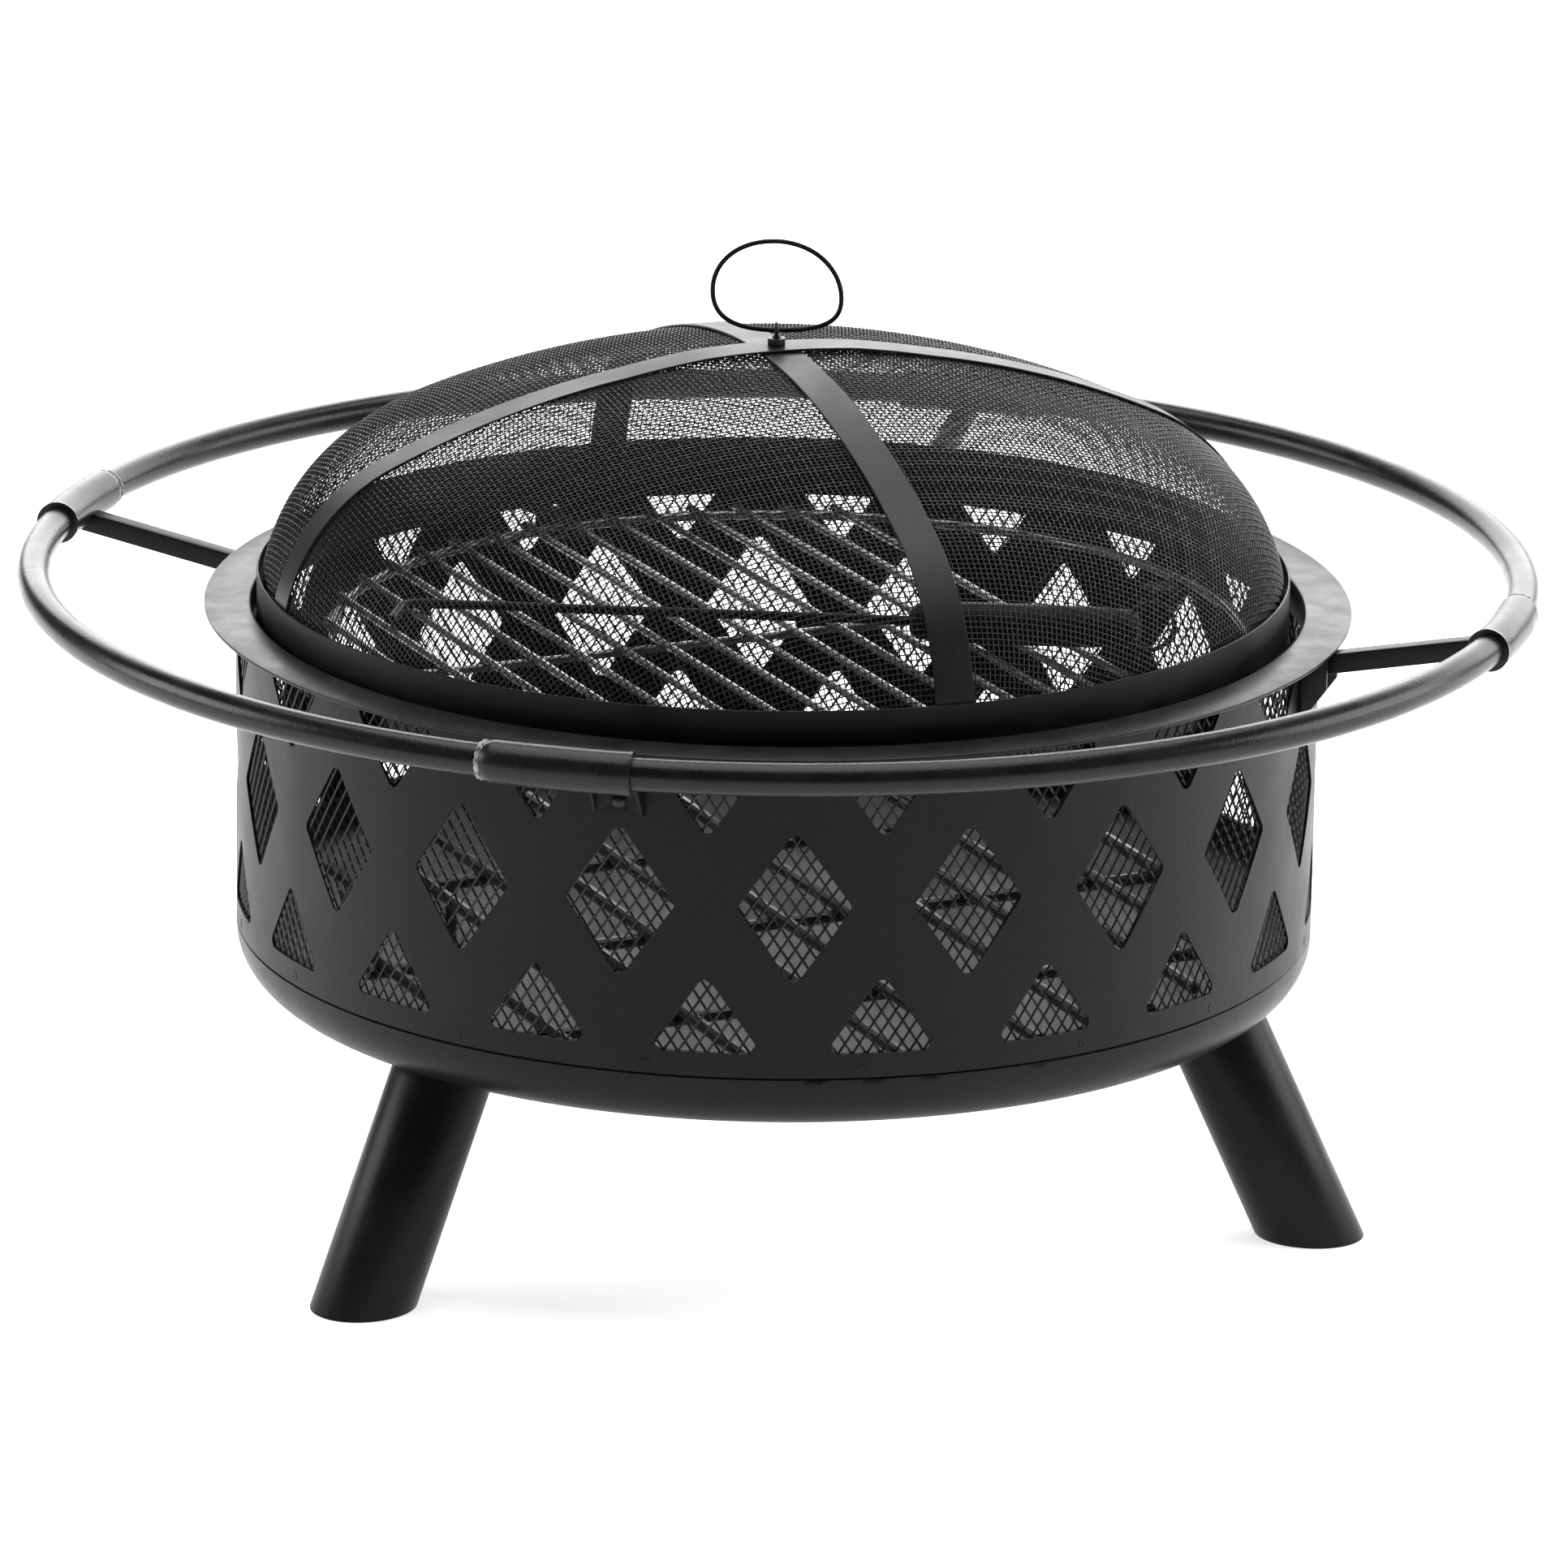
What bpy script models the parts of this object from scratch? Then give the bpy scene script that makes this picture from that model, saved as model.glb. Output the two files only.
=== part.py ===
"""Fire pit: perforated drum on three legs, ring rail, lift-off spark screen, two grates and a poker.

Metres, +Z up, origin on the ground under the middle of the bowl, front towards -Y.
"""

from math import acos, asin, atan, cos, pi, radians, sin, sqrt, tan

import bmesh
import bpy
from mathutils import Matrix, Vector

for old in list(bpy.data.objects):
    bpy.data.objects.remove(old, do_unlink=True)

# Gap left between pieces that touch.
GAP = 0.0003

# Drum, liner, bowl and rim.
RIM_HEIGHT = 0.370
DRUM_RADIUS = 0.3266
WALL = 0.0012
WALL_BOTTOM = 0.173
DRUM_FACETS = 60
RIM_OVERHANG = 0.019
RIM_SHELF = 0.0096
RIM_SHEET = 0.002
RIM_EDGE = 0.0005
COLLAR_DEPTH = 0.020
COLLAR_SHEET = 0.0015
COLLAR_BEND = 0.0012
LINER_SHEET = 0.0012
LINER_TOP_DROP = 0.005
PAN_SHEET = 0.0015
PAN_KNUCKLE = 0.030
PAN_KNUCKLE_DROP = 0.005
PAN_CROWN = 1.5
PAN_LIP = 0.021
PAN_JOGGLE = 0.001
KNUCKLE_STEPS = 4
CROWN_STEPS = 4

# Cut-outs in the drum wall.
REPEATS = 20
PATTERN_TURN = 2.15
DIAMOND_HEIGHT = 0.088
DIAMOND_WIDTH = 0.065
TRIANGLE_HEIGHT = 0.044
TRIANGLE_WIDTH = 0.059
LOW_MARGIN = 0.0144
HIGH_MARGIN = 0.0041
CORNER_RADIUS = 0.0045
CORNER_STEPS = 2
CUTTER_HALF = 0.006

# Ring rail on four arms.
RAIL_REACH = 0.102
RAIL_TUBE = 0.00955
RAIL_RISE = 0.019
RAIL_BUTT = 0.08
SLEEVE_WALL = 0.00263
SLEEVE_SIDES = 14
SLEEVE_FIT = 0.000075
SLEEVE_TURN = 11.25
ARM_TURN = -15.85
ARM_SIDE = 0.012
ARM_TUCK = 0.0014
ARM_DROP = 0.0096
ARM_CLEARANCE = 0.0006
ARM_STANDOFF = 0.0015
BRACKET_WIDTH = 0.030
BRACKET_DEPTH = 0.014
BRACKET_HEIGHT = 0.038
BRACKET_DROP = 0.004
BRACKET_SHEET = 0.002
BRACKET_SLOPE = 0.020
RIVET_SHANK = 0.0025
RIVET_HEAD = 0.0045
RIVET_CROWN = 0.0030
RIVET_DOME = 0.0025
RIVET_SHOULDER = 0.0018
RIVET_DROP = 0.034

# Legs.
LEG_TUBE = 0.030
LEG_WALL = 0.002
LEG_TURN = -45.0
FOOT_OFFSET = 0.0114
LEG_SPLAY = 0.486
LEG_LENGTH = 0.19
LEG_OVERRUN = 0.04
LEG_PLATE_DROP = 0.011
LEG_PLATE_SHEET = 0.004
LEG_PLATE_CLEARANCE = 0.0011
BOLT_SHANK = 0.004
BOLT_HEAD = 0.0075
BOLT_HEAD_HEIGHT = 0.0053
BOLT_TAIL = 0.006

# Spark screen.
SCREEN_SHIFT = -0.003
BAND_CLEARANCE = 0.006
BAND_SHEET = 0.0013
BAND_DROP = 0.0177
BAND_HEIGHT = 0.0367
STRAP_CLEARANCE = 0.0005
DOME_KNUCKLE = 0.115
DOME_CROWN = 0.580
DOME_SHEET = 0.001
DOME_START = 78.0
DOME_SKIRT = 0.014
DOME_STEPS = 5
STRAP_WIDTH = 0.024
STRAP_SHEET = 0.0014
STRAP_TURN = 20.0
STRAP_ANGLE = 91.0
STRAP_END = 0.003
CROSSING_RAMP = 0.050

# Screen handle.
HANDLE_WIRE = 0.0015
HANDLE_WIDTH = 0.077
HANDLE_HEIGHT = 0.0545
STEM = 0.0025
STEM_DROP = 0.013
EYE_RADIUS = 0.0034
EYE_WIRE = 0.0013
NUT_ACROSS = 0.0105
NUT_HEIGHT = 0.0044
LOCKNUT_ACROSS = 0.0088
LOCKNUT_HEIGHT = 0.005
WASHER_RADIUS = 0.008
WASHER_SHEET = 0.0012

# Grates and the stepped rests that carry the screen and the upper grate.
GRATE_SHIFT = 0.007
GRATE_CLEARANCE = 0.040
GRATE_DROP = 0.0227
GRATE_RING = 0.003
GRATE_ROD = 0.0025
GRATE_PITCH = 0.0282
GRATE_OVERHANG = 0.006
FUEL_OPENING = 0.125
ROD_WELD = 0.0013
BAR_WELD = 0.0011
ROD_ANGLE = -65.5
LOG_CLEARANCE = 0.0406
LOG_DROP = 0.003
LOG_ROD = 0.004
LOG_PITCH = 0.043
LOG_WELD = 0.0018
LOG_BAR_OVERHANG = 0.008
LOG_BAR_SPACING = 0.150
LOG_FOOT = 0.0036
LOG_FOOT_SPACING = 0.1505
REST_TURN = 29.15
REST_SHEET = 0.0017
REST_HALF_WIDTH = 0.010
REST_STEP = 0.021
REST_SHELF = 0.015
REST_BACK = 0.0015
REST_TOP_DROP = 0.006

# Poker.
POKER_ROD = 0.003
GRIP_RADIUS = 0.0125
GRIP_LENGTH = 0.138
GRIP_TAPER = 0.002
GRIP_EDGE = 0.003
GRIP_BORE = 0.060
POKER_REST = 0.0002
POKER_HOOK = 0.012
POKER_HOOK_LENGTH = 0.040
POKER_LOOP = 0.0145
POKER_LOOP_WIRE = 0.0015
POKER_LOOP_INSET = 0.007
POKER_LOOP_TURN = 24.0

# Sizes and places that follow from those above.
rim_radius = DRUM_RADIUS + RIM_OVERHANG
rim_inner = DRUM_RADIUS - RIM_SHELF
pan_knuckle_top = WALL_BOTTOM - PAN_KNUCKLE_DROP
rail_radius = rim_radius + RAIL_REACH
rail_height = RIM_HEIGHT + RAIL_RISE
sleeve_bore = RAIL_TUBE / cos(pi / SLEEVE_SIDES) + SLEEVE_FIT
sleeve_tube = sleeve_bore + SLEEVE_WALL
foot_radius = DRUM_RADIUS + FOOT_OFFSET
band_radius = rim_inner - BAND_CLEARANCE
band_bottom = RIM_HEIGHT - BAND_DROP
band_top = band_bottom + BAND_HEIGHT
dome_radius = band_radius - BAND_SHEET - STRAP_SHEET - 2 * GAP - STRAP_CLEARANCE
grate_radius = rim_inner - GRATE_CLEARANCE
grate_level = RIM_HEIGHT - GRATE_DROP
log_radius = DRUM_RADIUS - LOG_CLEARANCE
log_level = WALL_BOTTOM - LOG_DROP

parts = bpy.data.collections.new("fire_pit")
cutters = bpy.data.collections.new("cutters")
bpy.context.scene.collection.children.link(parts)
bpy.context.scene.collection.children.link(cutters)


def make_material(name, colour, roughness, metallic=0.0):
    made = bpy.data.materials.new(name)
    made.use_nodes = True
    shader = made.node_tree.nodes["Principled BSDF"]
    shader.inputs["Base Color"].default_value = (*colour, 1.0)
    shader.inputs["Roughness"].default_value = roughness
    shader.inputs["Metallic"].default_value = metallic
    made.diffuse_color = (*colour, 1.0)
    return made


BLACK = (0.018, 0.018, 0.019)
drum_paint = make_material("drum_paint", BLACK, 0.42)
liner_paint = make_material("liner_paint", BLACK, 0.5)
pan_paint = make_material("pan_paint", BLACK, 0.4)
rim_paint = make_material("rim_paint", BLACK, 0.35)
rail_paint = make_material("rail_paint", BLACK, 0.38)
sleeve_paint = make_material("sleeve_paint", BLACK, 0.4)
arm_paint = make_material("arm_paint", BLACK, 0.4)
leg_paint = make_material("leg_paint", BLACK, 0.4)
mesh_paint = make_material("screen_mesh_paint", BLACK, 0.5)
band_paint = make_material("screen_band_paint", BLACK, 0.38)
strap_paint = make_material("screen_strap_paint", BLACK, 0.36)
handle_paint = make_material("handle_paint", (0.012, 0.012, 0.013), 0.4)
fastener_zinc = make_material("fastener_steel", (0.05, 0.05, 0.052), 0.4, 0.6)
grate_paint = make_material("grate_paint", (0.03, 0.03, 0.031), 0.42)
log_paint = make_material("log_grate_paint", (0.02, 0.02, 0.021), 0.5)
poker_paint = make_material("poker_paint", (0.012, 0.012, 0.013), 0.45)
grip_rubber = make_material("poker_grip_black", (0.01, 0.01, 0.01), 0.6)


def turned(degrees, radius, height=0.0):
    """Point at an angle from the front, positive towards +X."""
    angle = radians(degrees)
    return Vector((radius * sin(angle), -radius * cos(angle), height))


def facing(degrees, radius=0.0, height=0.0):
    """Frame at that angle with its +X pointing outwards."""
    spot = Matrix.Translation(turned(degrees, radius, height))
    return spot @ Matrix.Rotation(radians(degrees - 90.0), 4, "Z")


def add_object(name, bm, paint, at=(0.0, 0.0, 0.0)):
    bmesh.ops.recalc_face_normals(bm, faces=bm.faces)
    mesh = bpy.data.meshes.new(name)
    bm.to_mesh(mesh)
    bm.free()
    made = bpy.data.objects.new(name, mesh)
    made.location = at
    mesh.materials.append(paint)
    parts.objects.link(made)
    return made


def to_cutter(made):
    parts.objects.unlink(made)
    cutters.objects.link(made)
    made.hide_render = True
    made.display_type = "WIRE"
    return made


def combine(target, other, operation="DIFFERENCE"):
    step = target.modifiers.new(operation.lower(), "BOOLEAN")
    step.operation = operation
    step.solver = "EXACT"
    step.object = other


def add_lathe(name, profile, facets, paint, at=(0.0, 0.0, 0.0), closed=True):
    """Solid of revolution; the profile runs from top to bottom on its outer side."""
    mesh = bpy.data.meshes.new(name)
    points = [(radius, 0.0, height) for radius, height in profile]
    edges = [(i, i + 1) for i in range(len(points) - 1)]
    if closed:
        edges.append((len(points) - 1, 0))
    mesh.from_pydata(points, edges, [])
    mesh.materials.append(paint)
    made = bpy.data.objects.new(name, mesh)
    made.location = at
    parts.objects.link(made)
    screw = made.modifiers.new("turn", "SCREW")
    screw.steps = facets
    screw.render_steps = facets
    screw.use_merge_vertices = True
    screw.merge_threshold = 0.0001
    return made


def add_rod(bm, start, end, radius, facets=8):
    axis = end - start
    turn = axis.to_track_quat("Z", "Y").to_matrix().to_4x4()
    matrix = Matrix.Translation((start + end) / 2) @ turn
    bmesh.ops.create_cone(
        bm,
        cap_ends=True,
        segments=facets,
        radius1=radius,
        radius2=radius,
        depth=axis.length,
        matrix=matrix,
    )


def add_ring(bm, middle, radius, tube, facets, sides, turn=None):
    """Torus about the frame's Z axis, made by spinning a disc once round."""
    frame = Matrix.Translation(middle) @ (turn or Matrix.Identity(4))
    disc = bmesh.ops.create_circle(bm, segments=sides, radius=tube)
    stand = Matrix.Translation((radius, 0.0, 0.0)) @ Matrix.Rotation(pi / 2, 4, "X")
    bmesh.ops.transform(bm, matrix=frame @ stand, verts=disc["verts"])
    edges = {edge for vert in disc["verts"] for edge in vert.link_edges}
    spun = bmesh.ops.spin(
        bm,
        geom=list(disc["verts"]) + list(edges),
        cent=middle,
        axis=frame.to_3x3() @ Vector((0.0, 0.0, 1.0)),
        angle=2 * pi,
        steps=facets,
    )
    last = [item for item in spun["geom_last"] if isinstance(item, bmesh.types.BMVert)]
    bmesh.ops.remove_doubles(bm, verts=list(disc["verts"]) + last, dist=0.00001)


def add_prism(bm, outline, half_width, matrix):
    """Flat outline in the frame's XZ plane, given thickness along its Y."""
    verts = [bm.verts.new((x, -half_width, z)) for x, z in outline]
    face = bm.faces.new(verts)
    pushed = bmesh.ops.extrude_face_region(bm, geom=[face])
    far = [item for item in pushed["geom"] if isinstance(item, bmesh.types.BMVert)]
    bmesh.ops.translate(bm, vec=(0.0, 2 * half_width, 0.0), verts=far)
    bmesh.ops.transform(bm, matrix=matrix, verts=verts + far)


def rounded(corners, radius, steps):
    """Outline of a convex polygon with an arc in place of each corner."""
    outline = []
    for i, corner in enumerate(corners):
        here = Vector(corner)
        back = (Vector(corners[i - 1]) - here).normalized()
        ahead = (Vector(corners[(i + 1) % len(corners)]) - here).normalized()
        half = acos(back.dot(ahead)) / 2
        middle = here + (back + ahead).normalized() * radius / sin(half)
        start = here + back * radius / tan(half) - middle
        end = here + ahead * radius / tan(half) - middle
        for step in range(steps + 1):
            spot = start.lerp(end, step / steps).normalized() * radius
            outline.append(tuple(middle + spot))
    return outline


def sharpened(width, height, radius):
    """Half diamond whose rounded outline fills the given width and height."""
    slant = sqrt(width * width + height * height)
    top_half = asin(width / slant)
    side_half = pi / 2 - top_half
    grow_z = radius * (1 / sin(top_half) - 1)
    grow_x = radius * (1 / sin(side_half) - 1)
    return width / 2 + grow_x, height / 2 + grow_z


# Drum wall with its three rows of cut-outs.
wall_top = RIM_HEIGHT - RIM_SHEET - GAP
drum_wall = add_lathe(
    "drum_wall",
    [
        (DRUM_RADIUS, wall_top),
        (DRUM_RADIUS, WALL_BOTTOM),
        (DRUM_RADIUS - WALL, WALL_BOTTOM),
        (DRUM_RADIUS - WALL, wall_top),
    ],
    DRUM_FACETS,
    drum_paint,
)
half_wide, half_tall = sharpened(DIAMOND_WIDTH, DIAMOND_HEIGHT, CORNER_RADIUS)
diamond = rounded(
    [(0.0, half_tall), (half_wide, 0.0), (0.0, -half_tall), (-half_wide, 0.0)],
    CORNER_RADIUS,
    CORNER_STEPS,
)
peak = TRIANGLE_HEIGHT + CORNER_RADIUS * 0.8
base_half = TRIANGLE_WIDTH / 2 + CORNER_RADIUS * 0.9
triangle = rounded(
    [(-base_half, 0.0), (0.0, peak), (base_half, 0.0)],
    CORNER_RADIUS,
    CORNER_STEPS,
)
cut_mesh = bmesh.new()
cut_radius = DRUM_RADIUS - WALL / 2
step_angle = 360.0 / REPEATS
low = WALL_BOTTOM + LOW_MARGIN
high = wall_top - HIGH_MARGIN
across = Matrix.Rotation(pi / 2, 4, "Z")
flip = Matrix.Rotation(pi, 4, "Y")
for k in range(REPEATS):
    diamond_turn = PATTERN_TURN + k * step_angle
    triangle_turn = diamond_turn + step_angle / 2
    middle_row = facing(diamond_turn, cut_radius, (low + high) / 2) @ across
    low_row = facing(triangle_turn, cut_radius, low) @ across
    high_row = facing(triangle_turn, cut_radius, high) @ across @ flip
    add_prism(cut_mesh, diamond, CUTTER_HALF, middle_row)
    add_prism(cut_mesh, triangle, CUTTER_HALF, low_row)
    add_prism(cut_mesh, triangle, CUTTER_HALF, high_row)
cut_outs = to_cutter(add_object("cut_out_cutter", cut_mesh, drum_paint))
combine(drum_wall, cut_outs)

# Mesh liner standing on the lip of the bowl.
lip_outer = DRUM_RADIUS - WALL - GAP
lip_top = WALL_BOTTOM + PAN_LIP
liner_outer = lip_outer - GAP / 1.5
liner_inner = liner_outer - LINER_SHEET
mesh_liner = add_lathe(
    "mesh_liner",
    [
        (liner_outer, RIM_HEIGHT - LINER_TOP_DROP),
        (liner_outer, lip_top + GAP),
        (liner_inner, lip_top + GAP),
        (liner_inner, RIM_HEIGHT - LINER_TOP_DROP),
    ],
    DRUM_FACETS,
    liner_paint,
)


def bowl_outline(inset):
    """Outer side of the bowl, moved inwards by the inset, from the wall down to the axis."""
    knuckle = PAN_KNUCKLE - inset
    crown = PAN_CROWN - inset
    centre = DRUM_RADIUS - PAN_KNUCKLE
    lean = asin(centre / (PAN_CROWN - PAN_KNUCKLE))
    middle = pan_knuckle_top + (PAN_CROWN - PAN_KNUCKLE) * cos(lean)
    outline = []
    for step in range(KNUCKLE_STEPS + 1):
        angle = pi / 2 - (pi / 2 - lean) * step / KNUCKLE_STEPS
        outline.append((centre + knuckle * sin(angle), pan_knuckle_top - knuckle * cos(angle)))
    for step in range(1, CROWN_STEPS + 1):
        angle = lean * (1 - step / CROWN_STEPS)
        outline.append((crown * sin(angle), middle - crown * cos(angle)))
    return outline


def bowl_height(radius, inset=0.0):
    """Height of the bowl's skin at a radius: its outer side, or its inner side at a full inset."""
    outline = bowl_outline(inset)
    for (outer, upper), (inner, lower) in zip(outline, outline[1:]):
        if inner <= radius <= outer:
            return lower + (upper - lower) * (radius - inner) / (outer - inner)
    return outline[0][1]


# Pressed bowl with a joggled lip inside the drum.
outer_side = [(lip_outer, lip_top), (lip_outer, WALL_BOTTOM - PAN_JOGGLE)] + bowl_outline(0.0)
inner_side = bowl_outline(PAN_SHEET)[::-1]
inner_side += [(lip_outer - PAN_SHEET, WALL_BOTTOM - PAN_JOGGLE), (lip_outer - PAN_SHEET, lip_top)]
bottom_pan = add_lathe("bottom_pan", inner_side + outer_side, DRUM_FACETS, pan_paint, closed=False)

# Rim: flat flange with a collar hanging inside it.
rim_flange = add_lathe(
    "rim_flange",
    [
        (rim_radius - RIM_EDGE, RIM_HEIGHT),
        (rim_radius, RIM_HEIGHT - RIM_EDGE),
        (rim_radius, RIM_HEIGHT - RIM_SHEET),
        (rim_inner + COLLAR_SHEET, RIM_HEIGHT - RIM_SHEET),
        (rim_inner + COLLAR_SHEET, RIM_HEIGHT - COLLAR_DEPTH),
        (rim_inner, RIM_HEIGHT - COLLAR_DEPTH),
        (rim_inner, RIM_HEIGHT - COLLAR_BEND),
        (rim_inner + COLLAR_BEND, RIM_HEIGHT),
    ],
    DRUM_FACETS,
    rim_paint,
)

# Stepped rests: the upper step carries the screen, the lower one the cooking grate.
step_top = band_bottom - GAP
shelf_top = grate_level - GRATE_RING - GAP
collar_flat = rim_inner * cos(pi / DRUM_FACETS)
rest_outer = sqrt((collar_flat - GAP) ** 2 - REST_HALF_WIDTH**2)
rest_inner = grate_radius - REST_SHELF
riser = rim_inner - REST_STEP
rest_outline = [
    (rest_inner, shelf_top),
    (rest_inner, shelf_top - REST_SHEET),
    (riser + REST_SHEET, shelf_top - REST_SHEET),
    (riser + REST_SHEET, step_top - REST_SHEET),
    (rest_outer, step_top - REST_SHEET),
    (rest_outer, RIM_HEIGHT - REST_TOP_DROP),
    (rest_outer - REST_BACK, RIM_HEIGHT - REST_TOP_DROP),
    (rest_outer - REST_BACK, step_top),
    (riser, step_top),
    (riser, shelf_top),
]
for k in range(4):
    rest_mesh = bmesh.new()
    add_prism(rest_mesh, rest_outline, REST_HALF_WIDTH, facing(REST_TURN + 90.0 * k))
    add_object(f"screen_rest_{k + 1}", rest_mesh, rim_paint)

# Rail: four tube segments joined in four sleeves, each sleeve carried by an arm.
def add_arc_tube(name, outer, inner, start, sweep, steps, sides, paint):
    """Round tube along an arc of the rail, hollow when an inner radius is given."""
    bm = bmesh.new()
    rim = bmesh.ops.create_circle(bm, segments=sides, radius=outer, cap_ends=inner == 0.0)
    if inner:
        bore = bmesh.ops.create_circle(bm, segments=sides, radius=inner)
        loops = {edge for vert in rim["verts"] + bore["verts"] for edge in vert.link_edges}
        bmesh.ops.bridge_loops(bm, edges=list(loops))
    stand = facing(start, rail_radius, rail_height) @ Matrix.Rotation(pi / 2, 4, "X")
    bmesh.ops.transform(bm, matrix=stand, verts=bm.verts)
    bmesh.ops.spin(
        bm,
        geom=list(bm.verts) + list(bm.edges) + list(bm.faces),
        cent=(0.0, 0.0, 0.0),
        axis=(0.0, 0.0, 1.0),
        angle=radians(sweep),
        steps=steps,
    )
    return add_object(name, bm, paint)


for k in range(4):
    turn = ARM_TURN + 90.0 * k
    segment = (f"rail_segment_{k + 1}", RAIL_TUBE, 0.0, turn + RAIL_BUTT, 90.0 - 2 * RAIL_BUTT, 16, 12)
    sleeve_start = turn - SLEEVE_TURN / 2
    sleeve = (f"rail_sleeve_{k + 1}", sleeve_tube, sleeve_bore, sleeve_start, SLEEVE_TURN, 2, SLEEVE_SIDES)
    add_arc_tube(*segment, rail_paint)
    add_arc_tube(*sleeve, sleeve_paint)

# Brackets riveted to the drum, with an arm from each up to its sleeve.
plate_inner = DRUM_RADIUS + GAP
plate_outer = plate_inner + BRACKET_SHEET
bracket_top = RIM_HEIGHT - BRACKET_DROP
bracket_bottom = bracket_top - BRACKET_HEIGHT
rivet_height = RIM_HEIGHT - RIVET_DROP
side = BRACKET_WIDTH / 2
bracket_plan = [
    (plate_inner, -side),
    (plate_outer + BRACKET_DEPTH, -side),
    (plate_outer + BRACKET_DEPTH, BRACKET_SHEET - side),
    (plate_outer, BRACKET_SHEET - side),
    (plate_outer, side - BRACKET_SHEET),
    (plate_outer + BRACKET_DEPTH, side - BRACKET_SHEET),
    (plate_outer + BRACKET_DEPTH, side),
    (plate_inner, side),
]
under_rim = Vector((rim_radius, 0.0, RIM_HEIGHT - RIM_SHEET - ARM_CLEARANCE - ARM_SIDE / 2))
arm_outer = Vector((rail_radius - sleeve_tube + ARM_TUCK, 0.0, rail_height - ARM_DROP))
arm_way = arm_outer - under_rim
arm_inner = arm_outer - arm_way * (arm_outer.x - plate_outer - ARM_STANDOFF) / arm_way.x
rivet_bores = bmesh.new()
for k in range(4):
    turn = ARM_TURN + 90.0 * k
    frame = facing(turn)
    level = frame @ Matrix.Rotation(pi / 2, 4, "X")

    bracket = bmesh.new()
    mid_height = (bracket_top + bracket_bottom) / 2
    lift = Matrix.Translation((0.0, 0.0, mid_height)) @ Matrix.Rotation(-pi / 2, 4, "X")
    add_prism(bracket, bracket_plan, (bracket_top - bracket_bottom) / 2, lift)
    slope = Vector((-BRACKET_SLOPE, 0.0, BRACKET_DEPTH)).normalized()
    cut = bmesh.ops.bisect_plane(
        bracket,
        geom=list(bracket.verts) + list(bracket.edges) + list(bracket.faces),
        plane_co=(plate_outer + 0.0002, 0.0, bracket_bottom),
        plane_no=-slope,
        clear_outer=True,
    )
    edges = [item for item in cut["geom_cut"] if isinstance(item, bmesh.types.BMEdge)]
    bmesh.ops.holes_fill(bracket, edges=edges)
    bmesh.ops.transform(bracket, matrix=frame, verts=bracket.verts)
    made = add_object(f"arm_bracket_{k + 1}", bracket, arm_paint)

    arm = bmesh.new()
    bmesh.ops.create_cube(arm, size=1.0)
    axis = arm_outer - arm_inner
    tilt = Matrix.Rotation(-asin(axis.z / axis.length), 4, "Y")
    size = Matrix.Diagonal((axis.length, ARM_SIDE, ARM_SIDE, 1.0))
    place = frame @ Matrix.Translation((arm_inner + arm_outer) / 2) @ tilt @ size
    bmesh.ops.transform(arm, matrix=place, verts=arm.verts)
    add_object(f"rail_arm_{k + 1}", arm, arm_paint)

    inner_face = liner_inner * cos(pi / DRUM_FACETS) - GAP
    outer_face = plate_outer + GAP
    rivet = add_lathe(
        f"bracket_rivet_{k + 1}",
        [
            (0.0, outer_face + RIVET_DOME),
            (RIVET_CROWN, outer_face + RIVET_SHOULDER),
            (RIVET_HEAD, outer_face),
            (RIVET_SHANK, outer_face),
            (RIVET_SHANK, inner_face),
            (RIVET_HEAD, inner_face),
            (RIVET_CROWN, inner_face - RIVET_SHOULDER),
            (0.0, inner_face - RIVET_DOME),
        ],
        10,
        fastener_zinc,
        closed=False,
    )
    rivet.matrix_world = facing(turn, 0.0, rivet_height) @ Matrix.Rotation(pi / 2, 4, "Y")
    bore_inner = turned(turn, inner_face - RIVET_DOME, rivet_height)
    bore_outer = turned(turn, outer_face + RIVET_DOME, rivet_height)
    bore = bmesh.new()
    add_rod(bore, bore_inner, bore_outer, RIVET_SHANK + GAP, 12)
    bore_cutter = to_cutter(add_object(f"rivet_bore_{k + 1}", bore, arm_paint))
    combine(made, bore_cutter)
    add_rod(rivet_bores, bore_inner, bore_outer, RIVET_SHANK + GAP, 12)
all_bores = to_cutter(add_object("rivet_bores", rivet_bores, arm_paint))
combine(drum_wall, all_bores)
combine(mesh_liner, all_bores)


# Legs: splayed tubes coped to the bowl, each bolted through it into a plate inside the tube.
cope = [(radius, height - GAP) for radius, height in bowl_outline(0.0)]
cope_top = [(0.0, RIM_HEIGHT), (DRUM_RADIUS, RIM_HEIGHT)]
cope_cutter = to_cutter(
    add_lathe("cope_cutter", cope_top + cope, DRUM_FACETS, leg_paint, closed=False)
)
plate_near = LEG_PLATE_DROP
plate_far = plate_near + LEG_PLATE_SHEET
plate_middle = (plate_near + plate_far) / 2
slope_step = 0.003
bolt_radius = foot_radius - LEG_SPLAY * bowl_height(0.8 * foot_radius)
for attempt in range(3):
    bolt_top = bowl_height(bolt_radius)
    climb = bowl_height(bolt_radius + slope_step) - bowl_height(bolt_radius - slope_step)
    bolt_lean = atan(climb / (2 * slope_step))
    plate_height = bolt_top - plate_middle * cos(bolt_lean)
    bolt_radius = foot_radius - LEG_SPLAY * plate_height - plate_middle * sin(bolt_lean)
plate_radius = LEG_TUBE - LEG_WALL - LEG_PLATE_CLEARANCE
pan_bores = bmesh.new()
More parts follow.
